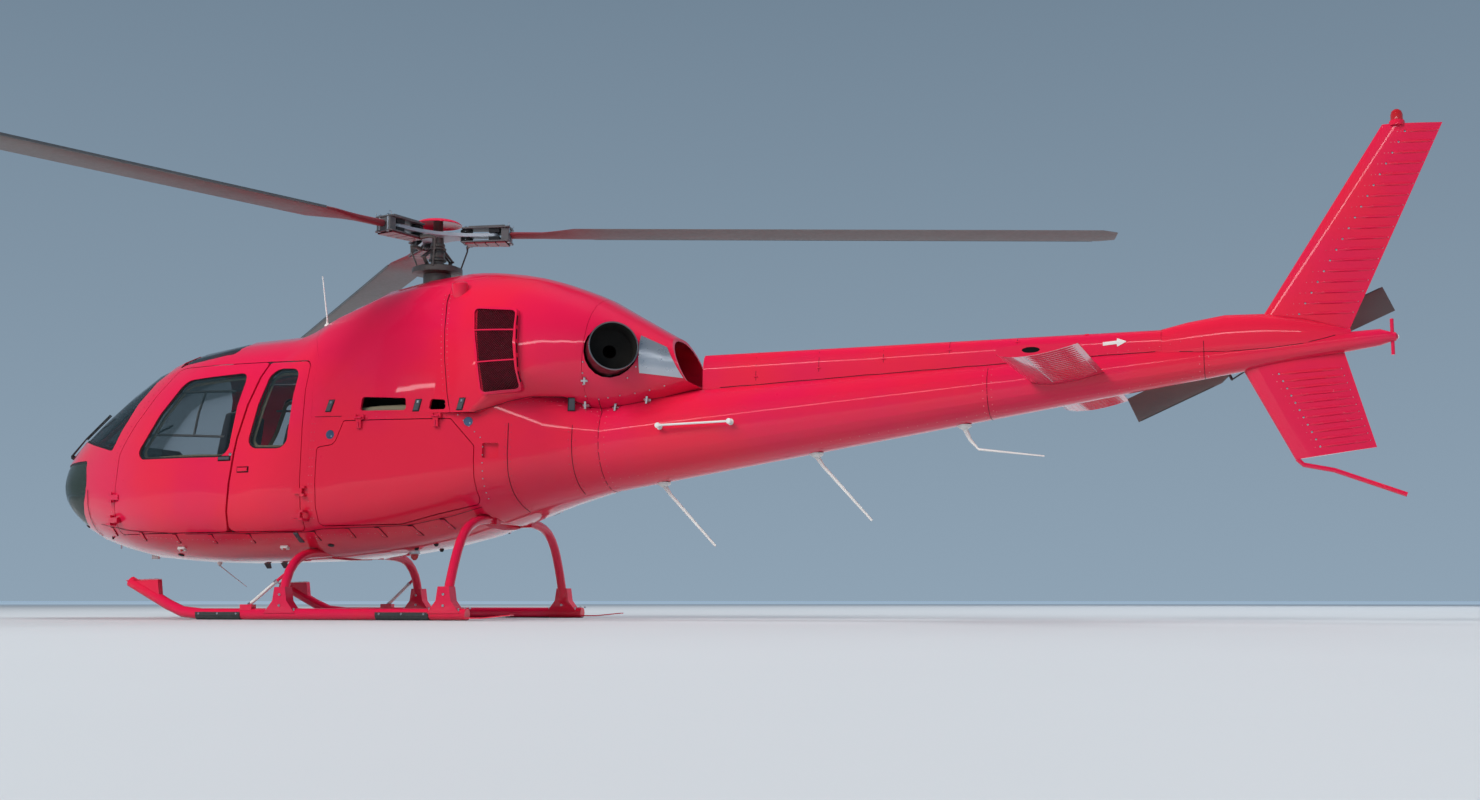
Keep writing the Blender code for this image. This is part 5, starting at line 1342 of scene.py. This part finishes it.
# ---- Tail rotor ----
# Two glass-fibre blades on one flexing spar, clamped to a splined shaft, with a sliding spider and
# a pitch link to each blade root and a dark erosion strip along each leading edge.
blade_paint = mottled("blade_paint", (2.2, 6.0, (1.0, 1.0, 3.0)), (0.135, 0.115, 0.105),
                      (0.175, 0.15, 0.14), 0.38, 0.2, 35.0,
                      Metallic=0.0, Specular_IOR_Level=0.45)
soften("tail_rotor", limit=30.0)
dress(blade_paint, "tail_rotor")
TAIL_HUB = Vector((9.70, 0.36, 1.83))
TAIL_REST_DEG = -24.0
HORN_REACH = 0.23
EDGE_FROM, EDGE_RUN = 0.36, 0.55
tail_hub, tail_links, tips = Form(), Form(), Form()
tail_hub.turned([(0.060, -0.030), (0.066, -0.022), (0.066, 0.022), (0.060, 0.030)],
                TAIL_HUB, Y, 24)
tail_hub.turned([(0.026, 0.07), (0.026, 0.085), (0.016, 0.09)], TAIL_HUB, Y, 18)
tail_hub.turned([(0.050, -0.115), (0.058, -0.108), (0.058, -0.090), (0.050, -0.083)],
                TAIL_HUB, Y, 24)
spinning_tree = tree_of(["tail_rotor"])
for half_turn in (0, 180):
    turn = Matrix.Rotation(math.radians(TAIL_REST_DEG + half_turn), 3, "Y")
    out, chordwise = turn @ X, turn @ Z
    tail_hub.block(TAIL_HUB + out * 0.13 + Y * 0.020, (0.13, 0.075, 0.008), out, Y)
    for offset in (0.085, 0.165):
        for across in (-0.024, 0.024):
            tail_hub.turned([(0.008, 0.0), (0.008, 0.010), (0.005, 0.012)],
                            TAIL_HUB + out * offset + chordwise * across + Y * 0.024, Y, 8)
    horn_root, horn = (TAIL_HUB + out * HORN_REACH + chordwise * w for w in (0.02, 0.075))
    tail_links.bar([horn_root, horn], 0.010, 8)
    spider = TAIL_HUB + out * 0.12 + chordwise * 0.07 - Y * 0.095
    tail_links.bar([horn, horn - Y * 0.015, spider], 0.006, 8)
    tail_links.bar([TAIL_HUB - Y * 0.098, spider], 0.010, 8)
    starts = [TAIL_HUB + out * (EDGE_FROM + EDGE_RUN * k / 8) + chordwise * 0.30 for k in range(9)]
    tips.strip(faced(spinning_tree, starts, chordwise, 0.5), 0.014, 0.0012)
tail_hub.piece("tail_rotor_hub", grey_metal, "tail_rotor", "dark_metal", bevel=0.0015)
tail_links.piece("tail_pitch_links", dark_steel, "tail_rotor", "dark_metal")
tips.piece("tail_blade_edges", dark_steel, "tail_rotor", "dark_metal")

# ---- Main rotor ----
# Three glass-fibre blades bolted into paired sleeve plates on a flexing star, with laminated rubber
# bearings and dampers between, on a steel mast with scissors and pitch links and a red dome on top.
HUB = Vector((3.466, 0.0, 3.035))
ROTOR_REST_DEG = (14.0, 134.0, 254.0)
MAST_FOOT_Z = 2.262
blade_span = Finish("main_blade_paint", Metallic=0.0, Specular_IOR_Level=0.45)
east = blade_span.axis("X") - (HUB.x - DATUM.x)
north = blade_span.axis("Y")
from_mast = (east * east + north * north).maths("SQRT")
root_red = 1 - from_mast.ramp(1.05, 1.5)
plain_blade = blade_span.blend(
    blade_span.noise(1.8, 6.0), (0.125, 0.105, 0.10), (0.17, 0.145, 0.135))
blade_span.put(Base_Color=blade_span.blend(root_red, plain_blade, (0.19, 0.022, 0.030)))
blade_span.put(Roughness=blade_span.noise(30.0) * 0.2 + 0.36)
for number in (1, 2, 3):
    soften(f"main_blade_{number}", limit=30.0)
    dress(blade_span, f"main_blade_{number}")
soften("swashplate", limit=35.0)
hub_brown = mottled("weathered_alloy", (9.0, 5.0), (0.115, 0.095, 0.085), (0.19, 0.165, 0.15),
                    0.28, 0.3, 35.0, 4.0, Metallic=0.75)
star_grey = mottled("star_plate", (7.0,), (0.36, 0.40, 0.45), (0.47, 0.50, 0.55),
                    0.3, 0.2, 30.0, Metallic=0.35)
chrome = mottled("polished_collar", (4.0,), (0.72, 0.73, 0.75), (0.62, 0.63, 0.66),
                 0.06, 0.08, 30.0, Metallic=1.0)
sleeve_grey = mottled("sleeve_plates", (8.0,), (0.085, 0.082, 0.085), (0.14, 0.13, 0.135),
                      0.35, 0.25, 50.0, Metallic=0.2)
cell_red = painted("sleeve_cell_red", (0.17, 0.02, 0.03), (0.22, 0.035, 0.045), 0.3)
dome_red = painted("dome_red")
dress(hub_brown, "swashplate")

# Turned sections, as (radius, height above the hub)
DOME = ((0.020, 0.112), (0.080, 0.109), (0.140, 0.099), (0.176, 0.084), (0.190, 0.070),
        (0.187, 0.066), (0.172, 0.078), (0.138, 0.090), (0.080, 0.098), (0.030, 0.100))
MAST = ((0.050, MAST_FOOT_Z - HUB.z), (0.050, -0.17), (0.046, -0.02), (0.046, 0.02),
        (0.040, 0.030), (0.040, 0.124))
COLLAR = ((0.068, MAST_FOOT_Z + 0.30 - HUB.z), (0.074, -0.44), (0.078, -0.39),
          (0.074, -0.345), (0.066, -0.338))
# Nuts and spacers on the mast, as (height, radius, half length)
MAST_RINGS = ((-0.325, 0.078, 0.012), (-0.290, 0.070, 0.014), (-0.245, 0.064, 0.022),
              (-0.195, 0.072, 0.010), (-0.150, 0.060, 0.024), (-0.105, 0.068, 0.010),
              (-0.075, 0.058, 0.014))
dome = Form().turned(DOME, HUB + Z * 0.024, Z, 48)
dome.piece("rotor_dome", dome_red, "main_rotor", "red_paint", sharp=40.0)

mast = Form().turned(MAST, HUB, Z, 36)
for height, radius, half in MAST_RINGS:
    low, high = height - half * 0.6, height + half * 0.6
    mast.turned([(radius - 0.004, height - half), (radius, low), (radius, high),
                 (radius - 0.004, height + half)], HUB, Z, 36)
mast.piece("mast", hub_brown, "main_rotor", "bare_metal", sharp=35.0)
chrome_collar = Form().turned(COLLAR, HUB, Z, 40)
chrome_collar.piece("mast_collar", chrome, "main_rotor", "bare_metal", sharp=40.0)

star, sleeves, cells, cell_gaps, bearings, head_bolts, links = (Form() for _ in range(7))
# Half outlines, as (distance from the mast, half width)
STAR_ARM = ((0.11, 0.105), (0.24, 0.060), (0.36, 0.048), (0.47, 0.052), (0.495, 0.030))
SLEEVE = ((0.205, 0.062), (0.30, 0.070), (0.585, 0.094), (0.598, 0.080))
SLEEVE_LEVELS = ((0.050, 0.062), (-0.062, -0.050))
SLEEVE_SPINE = ((0.24, 0.018), (0.52, 0.018))
SLEEVE_FLANGE = ((0.26, 0.058), (0.56, 0.086), (0.56, 0.076), (0.26, 0.048))
CELL_START, CELL_PITCH, CELL_GAP, CELL_WIDENING = 0.235, 0.085, 0.007, 0.0062
CELL_BED = ((0.232, 0.054), (0.572, 0.076))
# Laminated bearings, as (radius, height above the blade's plane)
BEARINGS = (((0.046, -0.049), (0.052, -0.040), (0.046, -0.032), (0.052, -0.024), (0.046, -0.017)),
            ((0.046, 0.015), (0.052, 0.023), (0.046, 0.031), (0.052, 0.040), (0.046, 0.049)))
HEAD_BOLTS = ((0.545, 0.045), (0.545, -0.045), (0.583, 0.045), (0.583, -0.045), (0.235, 0.035),
              (0.235, -0.035))
RING_RADIUS, RING_HEIGHT = 0.160, -0.262
SCISSOR_ANGLES_DEG = (74.0, 254.0)


def whole(half):
    """A symmetrical outline from one half of it."""
    return [(r, -w) for r, w in half] + [(r, w) for r, w in half[::-1]]


def seat_of(turn):
    """Places (out, abeam, up) on an arm that is turned about the mast."""
    return lambda r, w, h: HUB + turn @ Vector((r, w, h))


arms = [Matrix.Rotation(math.radians(angle), 3, "Z") for angle in ROTOR_REST_DEG]
star.slab([HUB + turn @ Vector((r, w, -0.016)) for turn in arms for r, w in whole(STAR_ARM)],
          Z * 0.030)
for turn in arms:
    at, out = seat_of(turn), turn @ X
    for low, high in SLEEVE_LEVELS:
        sleeves.slab([at(r, w, low) for r, w in whole(SLEEVE)], Z * (high - low))
    sleeves.slab([at(r, w, 0.062) for r, w in whole(SLEEVE_SPINE)], Z * 0.008)
    for edge in (-1, 1):
        sleeves.slab([at(r, edge * w, 0.062) for r, w in SLEEVE_FLANGE], Z * 0.010)
    for k in range(4):
        start, widening = CELL_START + CELL_PITCH * k, CELL_WIDENING * k
        cell = ((start, 0.060 + widening), (start + CELL_PITCH - CELL_GAP, 0.066 + widening))
        cells.slab([at(r, w, -0.074) for r, w in whole(cell)], Z * 0.011)
    # A near-black bed under the cells shows in the gaps between them: painted shade.
    cell_gaps.slab([at(r, w, -0.069) for r, w in whole(CELL_BED)], Z * 0.006)
    for section in BEARINGS:
        bearings.turned(section, at(0.235, 0, 0), Z, 24)
    for level in (-0.033, 0.032):
        bearings.block(at(0.47, 0, level), (0.085, 0.13, 0.032), out)
    sleeves.block(at(0.560, 0, 0), (0.060, 0.150, 0.098), out)
    for r, w in HEAD_BOLTS:
        head_bolts.turned([(0.012, -0.066), (0.012, 0.070), (0.007, 0.074)], at(r, w, 0), Z, 10)
    horn_root, horn_tip = at(0.26, 0.070, -0.056), at(0.20, 0.165, -0.060)
    links.bar([horn_root, horn_root.lerp(horn_tip, 0.6) + Z * 0.010, horn_tip],
              [0.020, 0.015, 0.012], 10)
    rod_foot = at(0.165, 0.115, -0.268)
    rod = [horn_tip + Z * 0.012, horn_tip - Z * 0.030, rod_foot + Z * 0.030, rod_foot - Z * 0.004]
    links.bar(rod, [0.010, 0.0065, 0.0065, 0.010], 10)
    for tab in (-0.080, 0.080):
        head_bolts.bar([at(0.585, tab, 0.062), at(0.592, tab * 1.05, 0.085),
                        at(0.597, tab * 0.85, 0.088)], 0.0025, 6)
for angle in SCISSOR_ANGLES_DEG:
    turn = Matrix.Rotation(math.radians(angle), 3, "Z")
    at = seat_of(turn)
    top, elbow, low = at(0.060, 0, -0.115), at(0.155, 0, -0.185), at(0.095, 0, RING_HEIGHT)
    for offset in (-0.016, 0.016):
        shift = turn @ Vector((0, offset, 0))
        links.bar([top + shift, elbow + shift], [0.012, 0.009], 8)
        links.bar([elbow + shift * 0.5, low + shift * 0.5], [0.009, 0.011], 8)
    links.bar([at(0.155, -0.026, -0.185), at(0.155, 0.026, -0.185)], 0.008, 10)
links.bar(circle(HUB + Z * RING_HEIGHT, X, Y, RING_RADIUS, 40), 0.013, 10, ring=True)
for turn in arms:
    at = seat_of(turn)
    links.bar([at(0.115, 0.02, RING_HEIGHT), at(0.165, 0.115, RING_HEIGHT - 0.004)], 0.011, 8)
star_piece = star.piece("rotor_star", star_grey, "main_rotor", "bare_metal", bevel=0.003)
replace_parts(star_piece, "rotor_head")
sleeves.piece("blade_sleeves", sleeve_grey, "main_rotor", "dark_metal", bevel=0.002)
cells.piece("sleeve_cells", cell_red, "main_rotor", "dark_metal", bevel=0.0015)
cell_gaps.piece("sleeve_cell_gaps", opening_shade, "main_rotor", "matt_black")
bearings.piece("rubber_bearings", rubber, "main_rotor", "matt_black")
head_bolts.piece("rotor_head_bolts", bright_steel, "main_rotor", "bare_metal")
links.piece("pitch_links_and_scissors", hub_brown, "main_rotor", "dark_metal")

EDGE_START, EDGE_LENGTH, EDGE_STEPS = 1.25, 3.93, 29
BLADE_ROOT, BLADE_DROOP_DEG = 0.60, -1.2
edges = Form()
for number, turn in enumerate(arms, 1):
    blade_tree = tree_of([f"main_blade_{number}"])
    starts = []
    for k in range(EDGE_STEPS + 1):
        r = EDGE_START + EDGE_LENGTH * k / EDGE_STEPS
        level = HUB.z + (r - BLADE_ROOT) * math.tan(math.radians(BLADE_DROOP_DEG))
        starts.append(Vector((HUB.x, HUB.y, level)) + turn @ Vector((r, 0.5, 0)))
    edges.strip(faced(blade_tree, starts, turn @ Y), 0.022, 0.0012)
edge_steel = mottled("erosion_strip", (6.0,), (0.20, 0.19, 0.185), (0.27, 0.26, 0.25),
                     0.3, 0.2, 40.0, Metallic=0.9)
edges.piece("blade_erosion_strips", edge_steel, "main_rotor", "blade_grey")

# ---- Landing gear ----
# Bent steel cross tubes in forged shoes on extruded skid tubes, with hard-faced wear shoes clamped
# on, a folded entry step at each toe, spring steel tails and braces in white sleeves.
GEAR_NODES = ["skid_left", "skid_right", "front_cross_tube", "rear_cross_tube"]
for name in GEAR_NODES:
    soften(name, limit=42.0)
dress(red_paint, *GEAR_NODES)
SKID_Y, SKID_Z, SKID_RADIUS = 1.0, 0.042, 0.042
GROUND_CLEAR = 0.0002
WEAR_SHOES = ((2.07, 2.46), (3.60, 4.03))
TUBE_STATIONS = (2.80, 4.15)
# Round a skid tube, in degrees
SHOE_SPAN, SHOE_BOLT_ANGLE = (-65.0, 80.0), 95.0
RIB_START, RIB_PITCH, RIB_HALF_ANGLE = -52.0, 27.0, 8.0
SHOE_BOLTS = (0.08, 0.5, 0.92)
BRACE_FOOT, BRACE_TOP, BRACE_LEAN = (2.50, 0.10), (2.78, 0.33), 0.035
TUBE_BOLTS = (-0.115, -0.085, 0.085, 0.115)
TAIL_BOLTS = (4.30, 4.34)
STEP_FRONT, STEP_AFT, STEP_HALF_WIDTH = (1.425, 0.2935), (1.705, 0.3015), 0.031
wear_grey = mottled("hard_faced_shoe", (30.0, 5.0), (0.050, 0.055, 0.055), (0.095, 0.10, 0.10),
                    0.5, 0.25, 90.0, Metallic=0.4)
wear_grey.relief(300.0, 0.3, 0.001)
wear, wear_ribs, gear_bolts, step_treads, braces = (Form() for _ in range(5))


def sheath(form, x0, x1, y, outer, inner, span, steps=16):
    """A shell round the lower outboard side of a skid tube, over a span of angles in degrees."""
    angles = [math.radians(span[0] + (span[1] - span[0]) * k / steps) for k in range(steps + 1)]
    mirror = math.copysign(1, y)

    def at(x, radius, angle):
        height = SKID_Z - radius * math.cos(angle + 0.5)
        return Vector((x, y + mirror * radius * math.sin(angle + 0.5), max(GROUND_CLEAR, height)))

    corners = ((x0, inner), (x0, outer), (x1, outer), (x1, inner))
    form.skin([[at(x, radius, angle) for x, radius in corners] for angle in angles])


for _, side in SIDES:
    y = side * SKID_Y
    for x0, x1 in WEAR_SHOES:
        sheath(wear, x0, x1, y, SKID_RADIUS + 0.0038, SKID_RADIUS - 0.001, SHOE_SPAN)
        for k in range(5):
            middle = RIB_START + RIB_PITCH * k
            sheath(wear_ribs, x0 + 0.004, x1 - 0.004, y, SKID_RADIUS + 0.0062, SKID_RADIUS + 0.002,
                   (middle - RIB_HALF_ANGLE, middle + RIB_HALF_ANGLE), 4)
        for share in SHOE_BOLTS:
            angle = math.radians(SHOE_BOLT_ANGLE)
            x = x0 + (x1 - x0) * share
            spoke = Vector((0, side * math.sin(angle), -math.cos(angle)))
            place = Vector((x, y, SKID_Z)) + spoke * (SKID_RADIUS + 0.004)
            gear_bolts.dome(place, spoke, 0.009, 0.004, 8)
    for x in TUBE_STATIONS:
        for offset in TUBE_BOLTS:
            for lateral in (-0.030, 0.030):
                gear_bolts.turned([(0.008, -0.012), (0.008, 0.008), (0.005, 0.010)],
                                  (x + offset, y + lateral, 0.088 - abs(offset) * 0.10), Z, 8)
        for lateral in (-1, 1):
            for z in (0.185, 0.105):
                gear_bolts.turned([(0.010, -0.002), (0.010, 0.004), (0.006, 0.006)],
                                  (x, y + lateral * 0.047, z), Y * lateral, 10)
    low = Vector((BRACE_FOOT[0], y, BRACE_FOOT[1]))
    high = Vector((BRACE_TOP[0], y - side * BRACE_LEAN, BRACE_TOP[1]))
    braces.bar([low.lerp(high, 0.04), low.lerp(high, 0.80)], 0.0130, 12)
    run = (high - low).normalized() * 0.014
    for share in (0.05, 0.78):
        spot = low.lerp(high, share)
        gear_bolts.bar([spot - run, spot + run], 0.0155, 6)
    front, aft = (Vector((x, y, z)) for x, z in (STEP_FRONT, STEP_AFT))
    half = Y * STEP_HALF_WIDTH
    step_treads.slab([front - half, aft - half, aft + half, front + half], Z * 0.003)
    for k in range(6):
        spot = front.lerp(aft, (k + 0.5) / 6) + Z * 0.003
        ridge = ((-0.004, -0.026), (0.004, -0.026), (0.004, 0.026), (-0.004, 0.026))
        wear_ribs.slab([spot + Vector((dx, dy, 0)) for dx, dy in ridge], Z * 0.002)
    for x in TAIL_BOLTS:
        gear_bolts.turned([(0.009, -0.004), (0.009, 0.006), (0.006, 0.008)], (x, y, 0.0845), Z, 8)
wear.piece("wear_shoes", wear_grey, slot="dark_metal")
wear_ribs.piece("wear_shoe_ribs", wear_grey, slot="dark_metal")
gear_bolts.piece("landing_gear_bolts", bright_steel, slot="bare_metal")
step_treads.piece("shoe_gussets", red_paint, slot="red_paint", bevel=0.001)
braces.piece("brace_sleeves", white_paint, slot="bare_metal")

bright_bolts.piece("bright_fasteners", bright_steel, slot="bare_metal", sharp=60.0)
# ---- Stage ----
# A pale seamless floor under soft boxes, seen from floor level on the aircraft's port side, from
# where the photograph looks up at it.
FLOOR_HALF_SIDE = 400.0
# The floor turns into the horizon's colour between these distances
FLOOR_FADE = (15.0, 70.0)
HORIZON = (0.25, 0.335, 0.42)
floor_finish = Finish("studio_floor", Roughness=0.62)
floor_finish.put(Base_Color=floor_finish.blend(
    floor_finish.noise(0.35), (0.52, 0.54, 0.56), (0.55, 0.57, 0.59)))
x, y = floor_finish.axis("X"), floor_finish.axis("Y")
far_off = (x * x + y * y).ramp(FLOOR_FADE[0] ** 2, FLOOR_FADE[1] ** 2)
floor_finish.put(Emission_Color=floor_finish.blend(far_off, (0.0, 0.0, 0.0), HORIZON),
                 Emission_Strength=1.0)
floor_form = bmesh.new()
bmesh.ops.create_grid(floor_form, x_segments=1, y_segments=1, size=FLOOR_HALF_SIDE)
floor_mesh = bpy.data.meshes.new("studio_floor")
floor_form.to_mesh(floor_mesh)
floor_form.free()
floor_mesh.materials.append(floor_finish.material)
studio_floor = bpy.data.objects.new("studio_floor", floor_mesh)
studio_floor.location = (3.0, 0.0, -DATUM.z - 0.0005)
bpy.context.scene.collection.objects.link(studio_floor)

sky = bpy.data.worlds.new("studio")
bpy.context.scene.world = sky
sky.use_nodes = True
backdrop = sky.node_tree
ray = backdrop.nodes.new("ShaderNodeTexCoord")
height = backdrop.nodes.new("ShaderNodeSeparateXYZ")
shade = backdrop.nodes.new("ShaderNodeValToRGB")
backdrop.links.new(ray.outputs["Generated"], height.inputs[0])
backdrop.links.new(height.outputs["Z"], shade.inputs[0])
backdrop.links.new(shade.outputs[0], backdrop.nodes["Background"].inputs["Color"])
shade.color_ramp.elements[0].color = (0.42, 0.56, 0.70, 1)
shade.color_ramp.elements[1].position = 0.75
shade.color_ramp.elements[1].color = (0.075, 0.135, 0.21, 1)
backdrop.nodes["Background"].inputs["Strength"].default_value = 0.65

CENTRE = Vector((3.0, 0.0, 1.0))


def soft_box(name, place, size, power, colour=(1.0, 1.0, 1.0), mirrored=False):
    lamp = bpy.data.lights.new(name, "AREA")
    lamp.shape = "RECTANGLE"
    lamp.size, lamp.size_y = size
    lamp.energy = power
    lamp.color = colour
    held = bpy.data.objects.new(name, lamp)
    held.location = place
    held.rotation_euler = (CENTRE - Vector(place)).to_track_quat("-Z", "Y").to_euler()
    held.visible_glossy = mirrored
    bpy.context.scene.collection.objects.link(held)


soft_box("key", (-12.0, -30.0, 26.0), (20.0, 20.0), 15500, (1.0, 0.97, 0.93))
soft_box("overhead", (8.0, 8.0, 30.0), (34.0, 14.0), 6500)
soft_box("far_side", (13.0, 30.0, 18.0), (22.0, 14.0), 4200, (0.92, 0.96, 1.0))
soft_box("highlight", (3.5, -14.0, 7.5), (16.0, 0.5), 160, mirrored=True)
bpy.context.scene.view_settings.view_transform = "Standard"

CAMERA_PLACE = Vector((9.95, -11.67, 0.14)) - DATUM
CAMERA_AIM = Vector((6.02, 0.0, 1.62)) - DATUM
camera = bpy.data.objects.new("camera", bpy.data.cameras.new("camera"))
camera.location = CAMERA_PLACE
camera.rotation_euler = (CAMERA_AIM - CAMERA_PLACE).to_track_quat("-Z", "Y").to_euler()
camera.data.lens = 40.6
camera.data.clip_end = 500.0
bpy.context.scene.collection.objects.link(camera)
bpy.context.scene.camera = camera
